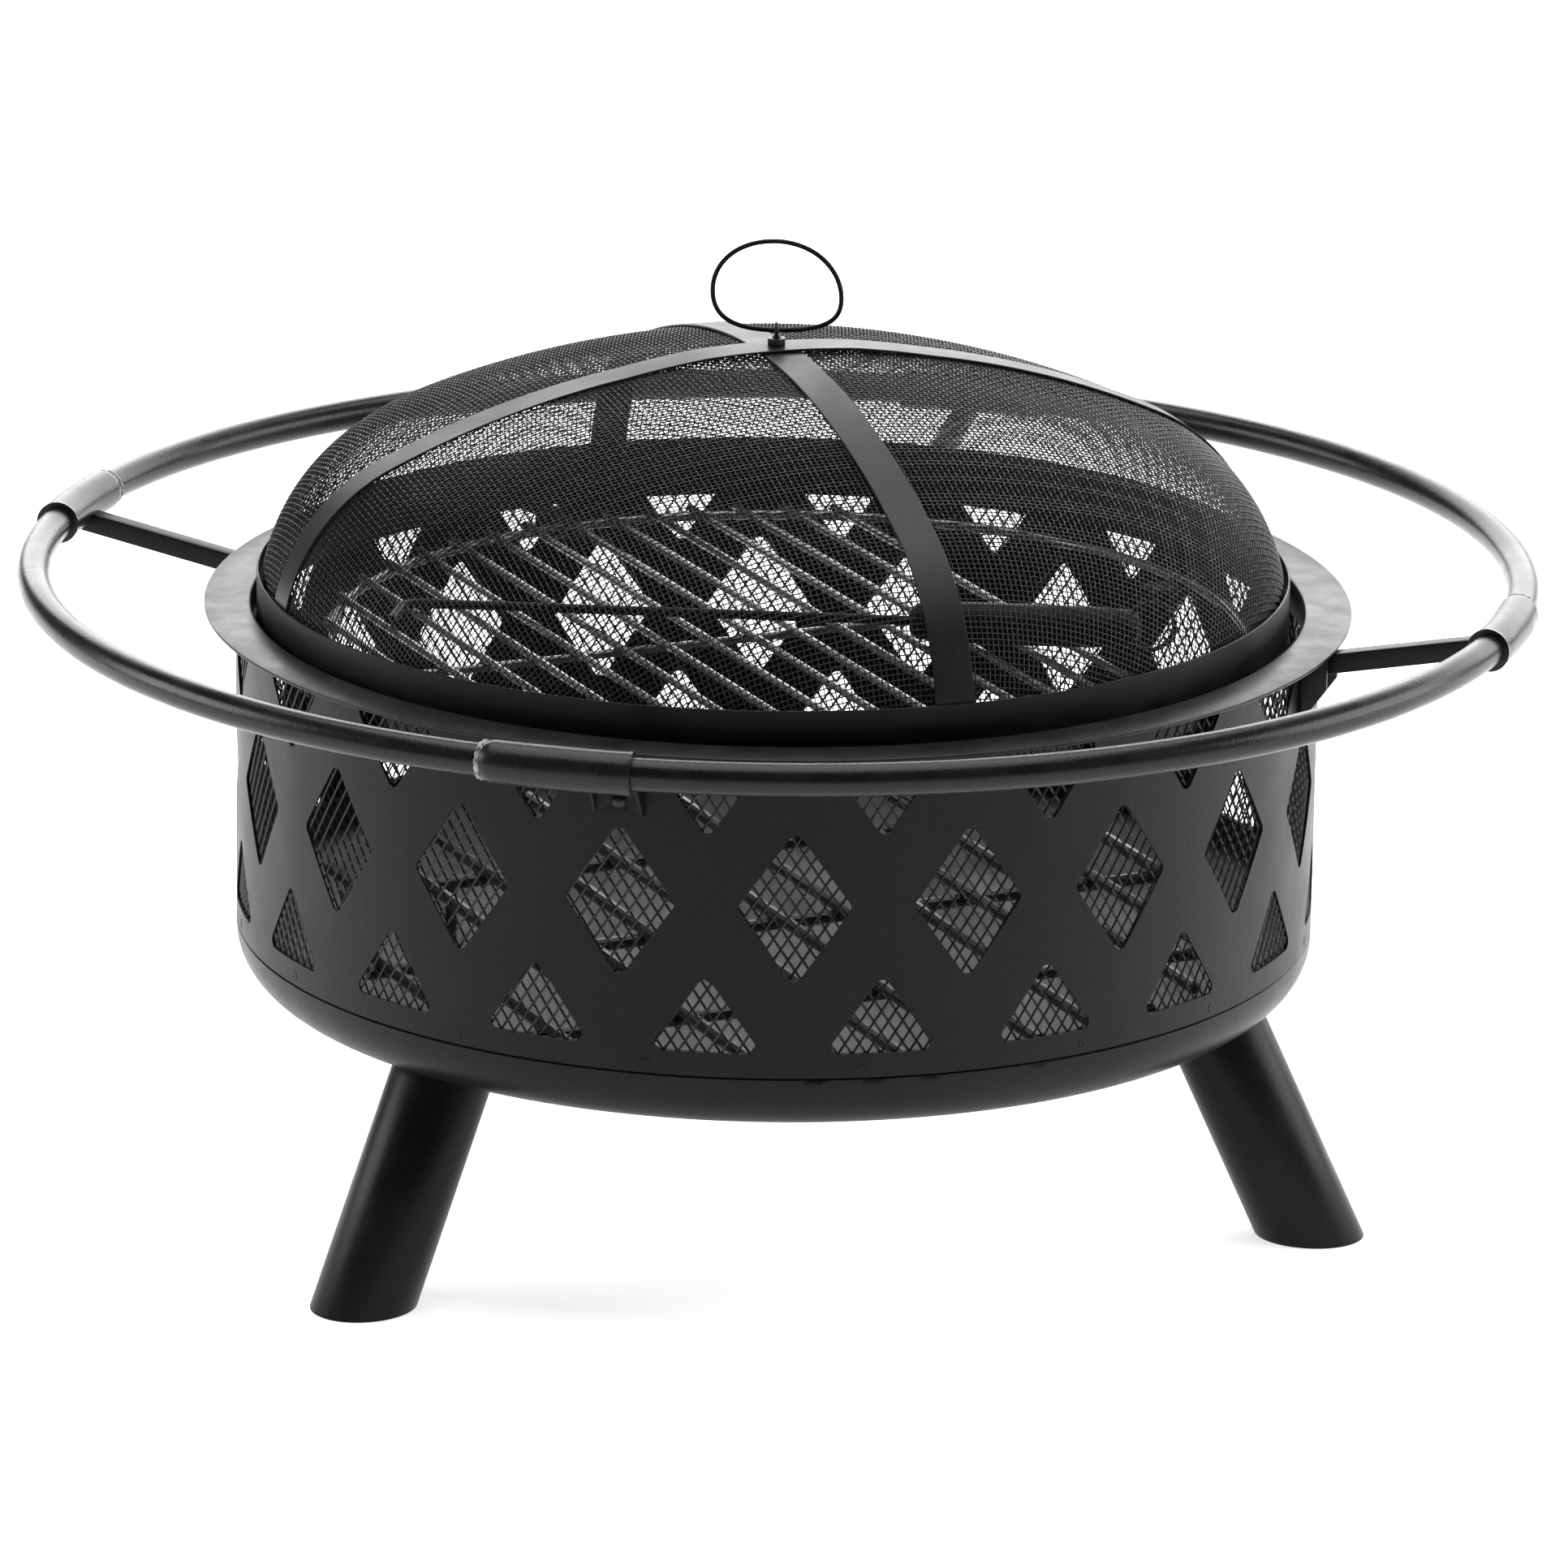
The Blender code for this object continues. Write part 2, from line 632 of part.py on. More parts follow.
for k in range(3):
    turn = LEG_TURN + 120.0 * k
    foot = Vector((foot_radius, 0.0, 0.0))
    along = Vector((-LEG_SPLAY, 0.0, 1.0)).normalized()
    leg = bmesh.new()
    rim = bmesh.ops.create_circle(leg, segments=28, radius=LEG_TUBE)
    bore = bmesh.ops.create_circle(leg, segments=28, radius=LEG_TUBE - LEG_WALL)
    loops = {edge for vert in rim["verts"] + bore["verts"] for edge in vert.link_edges}
    bmesh.ops.bridge_loops(leg, edges=list(loops))
    low_end = foot - along * LEG_OVERRUN
    place = Matrix.Translation(low_end) @ along.to_track_quat("Z", "Y").to_matrix().to_4x4()
    bmesh.ops.transform(leg, matrix=place, verts=leg.verts)
    pushed = bmesh.ops.extrude_face_region(leg, geom=list(leg.faces), use_keep_orig=True)
    far = [item for item in pushed["geom"] if isinstance(item, bmesh.types.BMVert)]
    bmesh.ops.translate(leg, vec=along * (LEG_LENGTH + LEG_OVERRUN), verts=far)
    geom = list(leg.verts) + list(leg.edges) + list(leg.faces)
    cut = bmesh.ops.bisect_plane(leg, geom=geom, plane_co=foot, plane_no=(0, 0, -1), clear_outer=True)
    edges = [item for item in cut["geom_cut"] if isinstance(item, bmesh.types.BMEdge)]
    bmesh.ops.bridge_loops(leg, edges=edges)
    bmesh.ops.transform(leg, matrix=facing(turn), verts=leg.verts)
    made = add_object(f"leg_{k + 1}", leg, leg_paint)
    combine(made, cope_cutter)

    normal = Vector((sin(bolt_lean), 0.0, -cos(bolt_lean)))
    down = normal.to_track_quat("Z", "Y").to_matrix().to_4x4()
    seat = facing(turn) @ Matrix.Translation((bolt_radius, 0.0, bolt_top)) @ down
    plate = add_lathe(
        f"leg_plate_{k + 1}",
        [
            (plate_radius, plate_far),
            (plate_radius, plate_near),
            (BOLT_SHANK + GAP, plate_near),
            (BOLT_SHANK + GAP, plate_far),
        ],
        16,
        fastener_zinc,
    )
    plate.matrix_world = seat
    head = -PAN_SHEET - GAP
    bolt = bmesh.new()
    add_rod(bolt, Vector((0, 0, head)), Vector((0, 0, head - BOLT_HEAD_HEIGHT)), BOLT_HEAD, 6)
    leg_bolt = add_object(f"leg_bolt_{k + 1}", bolt, fastener_zinc)
    leg_bolt.matrix_world = seat
    shank = bmesh.new()
    shank_top = Vector((0, 0, head - BOLT_HEAD_HEIGHT / 2))
    add_rod(shank, shank_top, Vector((0, 0, plate_far + BOLT_TAIL)), BOLT_SHANK, 12)
    shank_cutter = to_cutter(add_object(f"leg_shank_{k + 1}", shank, fastener_zinc))
    shank_cutter.matrix_world = seat
    combine(leg_bolt, shank_cutter, "UNION")
    start = seat @ Vector((0, 0, -plate_near))
    end = seat @ Vector((0, 0, plate_near))
    add_rod(pan_bores, start, end, BOLT_SHANK + GAP, 12)
pan_bore_cutter = to_cutter(add_object("pan_bores", pan_bores, pan_paint))
combine(bottom_pan, pan_bore_cutter)

# Spark screen, built about its own axis.
screen_axis = (SCREEN_SHIFT, 0.0, 0.0)
start_angle = radians(DOME_START)
knuckle_middle_r = dome_radius - DOME_KNUCKLE * sin(start_angle)
knuckle_middle_z = band_top - DOME_KNUCKLE * cos(start_angle)
dome_lean = asin(knuckle_middle_r / (DOME_CROWN - DOME_KNUCKLE))
crown_middle = knuckle_middle_z - (DOME_CROWN - DOME_KNUCKLE) * cos(dome_lean)


def meridian(offset, skirt_bottom, inner_radius=0.0):
    """Dome outline moved outwards by the offset, from the skirt up to the top."""
    outline = [(dome_radius + offset, skirt_bottom), (dome_radius + offset, band_top)]
    knuckle = DOME_KNUCKLE + offset
    crown = DOME_CROWN + offset
    for step in range(1, DOME_STEPS + 1):
        angle = start_angle + (dome_lean - start_angle) * step / DOME_STEPS
        outline.append((knuckle_middle_r + knuckle * sin(angle), knuckle_middle_z + knuckle * cos(angle)))
    last = asin(inner_radius / crown)
    for step in range(1, DOME_STEPS + 1):
        angle = dome_lean + (last - dome_lean) * step / DOME_STEPS
        outline.append((crown * sin(angle), crown_middle + crown * cos(angle)))
    return outline


skirt = band_top - DOME_SKIRT
crossing_flat = DOME_CROWN * sin(dome_lean / DOME_STEPS)
crossing_fall = STRAP_WIDTH / 2 * tan(dome_lean / DOME_STEPS / 2)
crossing_gap = crossing_fall + GAP / 2
bolt_hole = STEM + GAP
outer_shell = meridian(0.0, skirt, bolt_hole)[::-1]
inner_shell = meridian(-DOME_SHEET, skirt, bolt_hole)
screen_mesh = add_lathe("screen_mesh", outer_shell + inner_shell, 48, mesh_paint, screen_axis)
screen_band = add_lathe(
    "screen_band",
    [
        (band_radius, band_top),
        (band_radius, band_bottom),
        (band_radius - BAND_SHEET, band_bottom),
        (band_radius - BAND_SHEET, band_top),
    ],
    DRUM_FACETS,
    band_paint,
    screen_axis,
)


def add_strap(name, turn, lift):
    """Flat strap over the dome, raised by the lift from the middle to the first row beyond the crossing."""
    bm = bmesh.new()
    rows = []
    half = meridian(0.0, skirt + STRAP_END)
    path = [(-r, z) for r, z in half[:-1]] + [(r, z) for r, z in half[::-1]]
    for i, (r, z) in enumerate(path):
        before = Vector(path[max(i - 1, 0)])
        after = Vector(path[min(i + 1, len(path) - 1)])
        ahead = (after - before).normalized()
        out = Vector((-ahead.y, ahead.x))
        if abs(r) >= dome_radius:
            out = Vector((1.0 if r > 0 else -1.0, 0.0))
        raised = lift * min(1.0, max(0.0, (crossing_flat + CROSSING_RAMP - abs(r)) / CROSSING_RAMP))
        low = Vector((r, z)) + out * (GAP + raised)
        high = low + out * STRAP_SHEET
        spots = [(low, -1), (low, 1), (high, 1), (high, -1)]
        rows.append([bm.verts.new((p.x, s * STRAP_WIDTH / 2, p.y)) for p, s in spots])
    for near, far in zip(rows, rows[1:]):
        for j in range(4):
            bm.faces.new((near[j], near[(j + 1) % 4], far[(j + 1) % 4], far[j]))
    bm.faces.new(rows[0])
    bm.faces.new(rows[-1])
    bmesh.ops.transform(bm, matrix=facing(turn), verts=bm.verts)
    return add_object(name, bm, strap_paint, screen_axis)


strap_low = add_strap("screen_strap_1", STRAP_TURN, 0.0)
strap_high = add_strap("screen_strap_2", STRAP_TURN - STRAP_ANGLE, STRAP_SHEET + crossing_gap)

# Wire handle held in the eye of a bolt through the top of the screen.
dome_top = crown_middle + DOME_CROWN
strap_top = dome_top + 2 * STRAP_SHEET + GAP + crossing_gap
nut_bottom = strap_top + GAP
eye_height = nut_bottom + NUT_HEIGHT + GAP + EYE_RADIUS + EYE_WIRE
hole_mesh = bmesh.new()
stem_bottom = dome_top - STEM_DROP
add_rod(hole_mesh, Vector((0, 0, stem_bottom)), Vector((0, 0, eye_height)), bolt_hole, 12)
strap_hole = to_cutter(add_object("strap_hole", hole_mesh, strap_paint, screen_axis))
combine(strap_low, strap_hole)
combine(strap_high, strap_hole)

eye_mesh = bmesh.new()
stand_up = Matrix.Rotation(pi / 2, 4, "Y")
add_ring(eye_mesh, Vector((0, 0, eye_height)), EYE_RADIUS, EYE_WIRE, 20, 8, stand_up)
handle_eye = add_object("handle_eyebolt", eye_mesh, fastener_zinc, screen_axis)
stem_mesh = bmesh.new()
stem_top = Vector((0, 0, eye_height - EYE_RADIUS + GAP / 1.5))
add_rod(stem_mesh, Vector((0, 0, stem_bottom)), stem_top, STEM, 12)
stem = to_cutter(add_object("handle_stem", stem_mesh, fastener_zinc, screen_axis))
combine(handle_eye, stem, "UNION")


def add_nut(name, bottom, across, thick):
    """Hexagonal nut with a clear bore."""
    bm = bmesh.new()
    rim = bmesh.ops.create_circle(bm, segments=6, radius=across / 2 / cos(pi / 6))
    bore = bmesh.ops.create_circle(bm, segments=12, radius=bolt_hole)
    loops = {edge for vert in rim["verts"] + bore["verts"] for edge in vert.link_edges}
    bmesh.ops.triangle_fill(bm, edges=list(loops), use_beauty=True)
    core = [face for face in bm.faces if face.calc_center_median().length < bolt_hole * 0.6]
    bmesh.ops.delete(bm, geom=core, context="FACES_KEEP_BOUNDARY")
    pushed = bmesh.ops.extrude_face_region(bm, geom=list(bm.faces), use_keep_orig=True)
    far = [item for item in pushed["geom"] if isinstance(item, bmesh.types.BMVert)]
    bmesh.ops.translate(bm, vec=(0.0, 0.0, thick), verts=far)
    bmesh.ops.translate(bm, vec=(0.0, 0.0, bottom), verts=bm.verts)
    return add_object(name, bm, fastener_zinc, screen_axis)


add_nut("handle_nut", nut_bottom, NUT_ACROSS, NUT_HEIGHT)
washer_top = dome_top - DOME_SHEET - GAP / 0.75
washer_bottom = washer_top - WASHER_SHEET
add_lathe(
    "handle_washer",
    [
        (WASHER_RADIUS, washer_top),
        (WASHER_RADIUS, washer_bottom),
        (bolt_hole, washer_bottom),
        (bolt_hole, washer_top),
    ],
    20,
    fastener_zinc,
    screen_axis,
)
add_nut("handle_locknut", washer_bottom - GAP - LOCKNUT_HEIGHT, LOCKNUT_ACROSS, LOCKNUT_HEIGHT)

wire = bpy.data.curves.new("handle_wire", "CURVE")
wire.dimensions = "3D"
wire.resolution_u = 9
wire.bevel_depth = HANDLE_WIRE
wire.bevel_resolution = 2
loop = wire.splines.new("BEZIER")
loop.bezier_points.add(3)
loop.use_cyclic_u = True
wide = HANDLE_WIDTH / 2
tall = HANDLE_HEIGHT
anchors = [
    ((0.0, 0.0), (-0.75, 0.0), (0.75, 0.0)),
    ((wide, 0.36 * tall), (0.0, -0.26), (0.0, 0.33)),
    ((-0.05 * wide, tall), (0.62, 0.0), (-0.58, 0.0)),
    ((-wide, 0.45 * tall), (0.0, 0.30), (0.0, -0.28)),
]
for point, (spot, before, after) in zip(loop.bezier_points, anchors):
    point.co = (spot[0], 0.0, spot[1])
    for handle, pull in (("handle_left", before), ("handle_right", after)):
        reach = (spot[0] + pull[0] * wide, 0.0, spot[1] + pull[1] * tall)
        setattr(point, handle, reach)
wire_object = bpy.data.objects.new("handle_wire", wire)
parts.objects.link(wire_object)
bpy.context.view_layer.update()
graph = bpy.context.evaluated_depsgraph_get()
ring_mesh = bpy.data.meshes.new_from_object(wire_object.evaluated_get(graph))
ring_mesh.materials.clear()
ring_mesh.materials.append(handle_paint)
handle_ring = bpy.data.objects.new("handle_ring", ring_mesh)
handle_ring.location = (SCREEN_SHIFT, 0.0, eye_height - GAP)
parts.objects.link(handle_ring)
bpy.data.objects.remove(wire_object, do_unlink=True)

# Cooking grate: hoop, rods on top of it and a bar under their middle; open on one side for fuel.
grate_axis = (GRATE_SHIFT, 0.0, 0.0)
rod_way = Vector((cos(radians(ROD_ANGLE)), sin(radians(ROD_ANGLE)), 0.0))
rod_side = Vector((-rod_way.y, rod_way.x, 0.0))


def chord(radius, offset):
    return sqrt(radius * radius - offset * offset)


def add_rod_row(bm, offsets, reach, overhang, radius, height, facets):
    for offset in offsets:
        half = chord(reach, offset) + overhang
        middle = rod_side * offset + Vector((0.0, 0.0, height))
        add_rod(bm, middle - rod_way * half, middle + rod_way * half, radius, facets)


def helper_of(name, bm, paint, at):
    return to_cutter(add_object(name, bm, paint, at))


rod_level = grate_level + GRATE_RING + GRATE_ROD - ROD_WELD
rods = bmesh.new()
first_rod = -int(grate_radius / GRATE_PITCH)
last_rod = int((grate_radius - FUEL_OPENING) / GRATE_PITCH)
offsets = [GRATE_PITCH * k for k in range(first_rod, last_rod + 1)]
add_rod_row(rods, offsets, grate_radius, GRATE_OVERHANG, GRATE_ROD, rod_level, 6)
cooking_grate = add_object("cooking_grate", rods, grate_paint, grate_axis)
hoop = bmesh.new()
add_ring(hoop, Vector((0, 0, grate_level)), grate_radius, GRATE_RING, 48, 6)
combine(cooking_grate, helper_of("grate_hoop", hoop, grate_paint, grate_axis), "UNION")
bar = bmesh.new()
near_end = rod_side * -grate_radius
far_end = rod_side * (GRATE_PITCH * last_rod + GRATE_OVERHANG)
rise = Vector((0.0, 0.0, rod_level - 2 * GRATE_ROD + BAR_WELD))
add_rod(bar, near_end + rise, far_end + rise, GRATE_ROD, 6)
combine(cooking_grate, helper_of("grate_bar", bar, grate_paint, grate_axis), "UNION")

# Log grate: heavier rods on three cross bars with four feet standing in the bowl.
logs = bmesh.new()
log_rods = int(log_radius / LOG_PITCH)
side_rods = int(chord(log_radius, LOG_BAR_SPACING) / LOG_PITCH)
offsets = [LOG_PITCH * k for k in range(-log_rods, log_rods + 1)]
add_rod_row(logs, offsets, log_radius, 0.0, LOG_ROD, log_level, 6)
log_grate = add_object("log_grate", logs, log_paint)
bars = bmesh.new()
bar_level = log_level - 2 * LOG_ROD + LOG_WELD
for along in (-LOG_BAR_SPACING, 0.0, LOG_BAR_SPACING):
    half = LOG_PITCH * (side_rods if along else log_rods) + LOG_BAR_OVERHANG
    middle = rod_way * along + Vector((0.0, 0.0, bar_level))
    add_rod(bars, middle - rod_side * half, middle + rod_side * half, LOG_ROD, 6)
combine(log_grate, helper_of("log_bars", bars, log_paint, (0, 0, 0)), "UNION")
feet = bmesh.new()
for along in (-LOG_BAR_SPACING, LOG_BAR_SPACING):
    for across in (-LOG_FOOT_SPACING, LOG_FOOT_SPACING):
        top = rod_way * along + rod_side * across + Vector((0.0, 0.0, bar_level))
        reach = Vector((top.x, top.y)).length + LOG_FOOT + 3 * GAP
        bottom = Vector((top.x, top.y, bowl_height(reach, PAN_SHEET) + GAP))
        add_rod(feet, bottom, top, LOG_FOOT, 8)
combine(log_grate, helper_of("log_feet", feet, log_paint, (0, 0, 0)), "UNION")

# Poker lying across the cooking grate.
rod_top = rod_level + GRATE_ROD
grip_start = Vector((0.080, -0.037, rod_top + GAP + GRIP_RADIUS + POKER_REST))
poker_tip = Vector((-0.226, 0.022, rod_top + GAP + POKER_ROD + POKER_REST))
poker_axis = (grip_start - poker_tip).normalized()
poker_turn = poker_axis.to_track_quat("X", "Z").to_matrix().to_4x4()
poker_frame = Matrix.Translation(grip_start) @ poker_turn
poker_length = (grip_start - poker_tip).length
grip_end = GRIP_RADIUS - GRIP_TAPER
bore_radius = POKER_ROD + GAP
poker_grip = add_lathe(
    "poker_grip",
    [
        (0.0, GRIP_LENGTH),
        (grip_end - GRIP_EDGE, GRIP_LENGTH),
        (grip_end, GRIP_LENGTH - GRIP_EDGE),
        (GRIP_RADIUS, GRIP_LENGTH * 0.7),
        (GRIP_RADIUS, GRIP_LENGTH * 0.3),
        (grip_end, GRIP_EDGE),
        (grip_end - GRIP_EDGE, 0.0),
        (bore_radius, 0.0),
        (bore_radius, GRIP_BORE),
        (0.0, GRIP_BORE),
    ],
    20,
    grip_rubber,
    closed=False,
)
poker_grip.matrix_world = poker_frame @ Matrix.Rotation(pi / 2, 4, "Y")
loop_spot = poker_frame @ Vector((GRIP_LENGTH - POKER_LOOP_INSET, 0.0, 0.0))
loop_swing = Matrix.Rotation(radians(POKER_LOOP_TURN), 4, "Z")
loop_turn = poker_turn @ loop_swing @ Matrix.Rotation(pi / 2, 4, "X")
hang = loop_turn @ Vector((POKER_LOOP, 0.0, 0.0))
loop_mesh = bmesh.new()
add_ring(loop_mesh, loop_spot + hang, POKER_LOOP, POKER_LOOP_WIRE, 28, 8, loop_turn)
add_object("poker_loop", loop_mesh, poker_paint)
channel = bmesh.new()
channel_wire = POKER_LOOP_WIRE + GAP / 0.75
add_ring(channel, loop_spot + hang, POKER_LOOP, channel_wire, 28, 8, loop_turn)
channel_cutter = to_cutter(add_object("loop_channel", channel, grip_rubber))
combine(poker_grip, channel_cutter)

path = bpy.data.curves.new("poker_path", "CURVE")
path.dimensions = "3D"
path.resolution_u = 5
path.bevel_depth = POKER_ROD
path.bevel_resolution = 2
path.use_fill_caps = True
shape = path.splines.new("BEZIER")
shape.bezier_points.add(3)
spots = [
    (Vector((-poker_length + 0.004, -POKER_HOOK_LENGTH, 0.0)), Vector((0.0, 0.009, 0.0))),
    (Vector((-poker_length, -POKER_HOOK, 0.0)), Vector((0.0, 0.007, 0.0))),
    (Vector((-poker_length + POKER_HOOK, 0.0, 0.0)), Vector((0.007, 0.0, 0.0))),
    (Vector((GRIP_BORE - 3 * GAP, 0.0, 0.0)), Vector((0.05, 0.0, 0.0))),
]
for point, (spot, pull) in zip(shape.bezier_points, spots):
    point.co = spot
    point.handle_left = spot - pull
    point.handle_right = spot + pull
path_object = bpy.data.objects.new("poker_path", path)
parts.objects.link(path_object)
bpy.context.view_layer.update()
graph = bpy.context.evaluated_depsgraph_get()
rod_mesh = bpy.data.meshes.new_from_object(path_object.evaluated_get(graph))
rod_mesh.materials.clear()
rod_mesh.materials.append(poker_paint)
welded = bmesh.new()
welded.from_mesh(rod_mesh)
bmesh.ops.remove_doubles(welded, verts=welded.verts, dist=0.00001)
bmesh.ops.recalc_face_normals(welded, faces=welded.faces)
welded.to_mesh(rod_mesh)
welded.free()
poker_rod = bpy.data.objects.new("poker_rod", rod_mesh)
poker_rod.matrix_world = poker_frame
parts.objects.link(poker_rod)
bpy.data.objects.remove(path_object, do_unlink=True)


def carry(name, at, pieces):
    """Empty on the line a lift-off group travels along, with the group's pieces parented to it."""
    holder = bpy.data.objects.new(name, None)
    holder.location = at
    holder.empty_display_size = 0.05
    parts.objects.link(holder)
    for piece in pieces:
        piece.parent = holder
        piece.matrix_parent_inverse = Matrix.Translation(at).inverted()


def pieces_named(*starts):
    return [piece for piece in parts.objects if piece.name.startswith(starts)]


screen_pieces = pieces_named("screen_mesh", "screen_band", "screen_strap", "handle_")
carry("screen_lift_line", screen_axis, screen_pieces)
carry("cooking_grate_lift_line", grate_axis, [cooking_grate])
carry("log_grate_lift_line", (0.0, 0.0, 0.0), [log_grate])
carry("poker_lift_line", tuple(grip_start), pieces_named("poker_"))

for piece in parts.objects:
    if piece.type == "MESH" and piece.data.polygons:
        piece.data.shade_smooth()
        piece.data.set_sharp_from_angle(angle=radians(35.0))
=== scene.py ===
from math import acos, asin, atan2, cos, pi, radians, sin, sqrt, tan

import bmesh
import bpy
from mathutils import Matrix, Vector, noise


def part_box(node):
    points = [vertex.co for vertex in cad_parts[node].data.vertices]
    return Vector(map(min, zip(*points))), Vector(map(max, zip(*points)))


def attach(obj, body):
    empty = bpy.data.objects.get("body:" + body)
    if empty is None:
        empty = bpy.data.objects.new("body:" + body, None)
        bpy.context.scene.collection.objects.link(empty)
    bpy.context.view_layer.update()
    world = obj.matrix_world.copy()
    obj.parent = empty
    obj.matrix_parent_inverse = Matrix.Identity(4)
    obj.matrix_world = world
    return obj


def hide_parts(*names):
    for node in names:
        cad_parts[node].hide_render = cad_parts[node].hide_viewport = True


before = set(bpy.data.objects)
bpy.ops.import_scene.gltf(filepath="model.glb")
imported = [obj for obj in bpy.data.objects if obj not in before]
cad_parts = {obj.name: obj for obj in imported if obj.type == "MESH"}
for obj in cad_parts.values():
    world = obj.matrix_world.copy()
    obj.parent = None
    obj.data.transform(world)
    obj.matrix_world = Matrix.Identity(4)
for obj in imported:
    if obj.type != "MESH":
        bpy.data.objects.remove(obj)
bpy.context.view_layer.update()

# %% [markdown]
# # A round steel fire pit, finished part by part
#
# The frame just loaded is the engineering model: the right sizes and places, with flat facets. Each cell
# below takes one real piece, says how a workshop makes it, and models it finely in the same place.
# Everything on this pit is mild steel: rolled sheet, pressed bowl, bent tube, welded rod and woven wire,
# sprayed with black heat-proof paint.

MM = 0.001


def clear_selection():
    bpy.ops.object.select_all(action="DESELECT")


def pick(piece):
    """Only this piece is selected and active."""
    clear_selection()
    piece.select_set(True)
    bpy.context.view_layer.objects.active = piece


def outward(degrees, radius=0.0, height=0.0):
    """Frame at an angle from the front, positive to the right, with its +X pointing away from the middle."""
    angle = radians(degrees)
    spot = Matrix.Translation((radius * sin(angle), -radius * cos(angle), height))
    return spot @ Matrix.Rotation(radians(degrees - 90.0), 4, "Z")


def count(piece):
    return sum(len(face.vertices) - 2 for face in piece.data.polygons)


clear_selection()

# %% [markdown]
# ## Turned and joined pieces
#
# Most of a fire pit is round about one axis, so most pieces start as a flat outline that is spun. Rods
# and wires start as curves with a round section. Both kinds end the same way: one mesh with its origin
# at the world's origin, faces outwards, smooth where the metal is smooth, riding on the body that
# carries it.


# %% Spin an outline, sweep a wire, copy a piece of the frame
def spun_piece(name, outline, steps, centre=(0.0, 0.0, 0.0), sweep=360.0, closed=True):
    """Turns an outline of (radius, height) points about a vertical line."""
    mesh = bpy.data.meshes.new(name)
    points = [(centre[0] + radius, centre[1], centre[2] + height) for radius, height in outline]
    edges = [(i, i + 1) for i in range(len(points) - 1)]
    if closed:
        edges.append((len(points) - 1, 0))
    mesh.from_pydata(points, edges, [])
    piece = bpy.data.objects.new(name, mesh)
    bpy.context.scene.collection.objects.link(piece)
    pick(piece)
    bpy.ops.object.mode_set(mode="EDIT")
    bpy.ops.mesh.select_all(action="SELECT")
    bpy.ops.mesh.spin(steps=steps, angle=radians(sweep), center=centre, axis=(0.0, 0.0, 1.0))
    bpy.ops.mesh.select_all(action="SELECT")
    bpy.ops.mesh.remove_doubles(threshold=0.00001)
    bpy.ops.mesh.normals_make_consistent(inside=False)
    bpy.ops.object.mode_set(mode="OBJECT")
    return piece


def wire_piece(name, routes, radius, sides=2, closed=False):
    """Round wires through lists of points, with filled ends, as one mesh."""
    curve = bpy.data.curves.new(name, "CURVE")
    curve.dimensions = "3D"
    curve.bevel_depth = radius
    curve.bevel_resolution = sides
    curve.use_fill_caps = True
    for route in routes:
        strand = curve.splines.new("POLY")
        strand.points.add(len(route) - 1)
        flat = [value for point in route for value in (*point, 1.0)]
        strand.points.foreach_set("co", flat)
        strand.use_cyclic_u = closed
    piece = bpy.data.objects.new(name, curve)
    bpy.context.scene.collection.objects.link(piece)
    pick(piece)
    bpy.ops.object.convert(target="MESH")
    piece = bpy.context.view_layer.objects.active
    bpy.ops.object.mode_set(mode="EDIT")
    bpy.ops.mesh.select_all(action="SELECT")
    bpy.ops.mesh.remove_doubles(threshold=0.00001)
    bpy.ops.mesh.normals_make_consistent(inside=False)
    bpy.ops.object.mode_set(mode="OBJECT")
    return piece


def copy_of_frame(name, node):
    """A merged copy of a CAD node whose flat shape is already right, ready for softened edges."""
    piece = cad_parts[node].copy()
    piece.data = piece.data.copy()
    for key in list(piece.keys()):
        del piece[key]
    piece.name = name
    piece.parent = None
    piece.matrix_world = Matrix.Identity(4)
    piece.data.materials.clear()
    bpy.context.scene.collection.objects.link(piece)
    pick(piece)
    bpy.ops.object.mode_set(mode="EDIT")
    bpy.ops.mesh.select_all(action="SELECT")
    bpy.ops.mesh.remove_doubles(threshold=0.00001)
    bpy.ops.mesh.dissolve_limited(angle_limit=radians(2.0))
    bpy.ops.object.mode_set(mode="OBJECT")
    return piece


def soften(piece, width, segments=2, limit=35.0):
    """Rounds the piece's sharp edges, as the press or the file leaves them."""
    pick(piece)
    bevel = piece.modifiers.new("softened edges", "BEVEL")
    bevel.width = width
    bevel.segments = segments
    bevel.limit_method = "ANGLE"
    bevel.angle_limit = radians(limit)
    bevel.harden_normals = False
    bpy.ops.object.modifier_apply(modifier=bevel.name)
    return piece


def cut(piece, tool, operation="DIFFERENCE"):
    """Cuts a piece with a closed tool, then throws the tool away."""
    pick(piece)
    step = piece.modifiers.new("cut", "BOOLEAN")
    step.operation = operation
    step.solver = "EXACT"
    step.object = tool
    bpy.ops.object.modifier_apply(modifier=step.name)
    bpy.data.objects.remove(tool, do_unlink=True)
    return piece


def fit(piece, body, finish, nodes=(), smooth=35.0):
    """Last step of every piece: shading, paint, the body that carries it and the nodes it stands for."""
    pick(piece)
    bpy.ops.object.transform_apply(location=True, rotation=True, scale=True)
    bpy.ops.object.shade_smooth_by_angle(angle=radians(smooth))
    piece.data.materials.clear()
    piece.data.materials.append(finish)
    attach(piece, body)
    if nodes:
        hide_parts(*nodes)
    print(f"{piece.name}: {count(piece)} triangles")
    return piece


# %% [markdown]
# ## Black heat-proof paint
#
# The real finish is a silicone-resin paint with carbon black, sprayed on shot-blasted steel and baked.
# It is nearly black, satin to semi-gloss, with a faint orange peel and small differences in gloss where
# the spray was thicker. A base colour alone would look like plastic, so the gloss varies in soft clouds
# and a fine bump breaks the reflections. The peel of the real paint is under a millimetre wide, so it is
# drawn about two millimetres wide here to stay visible.


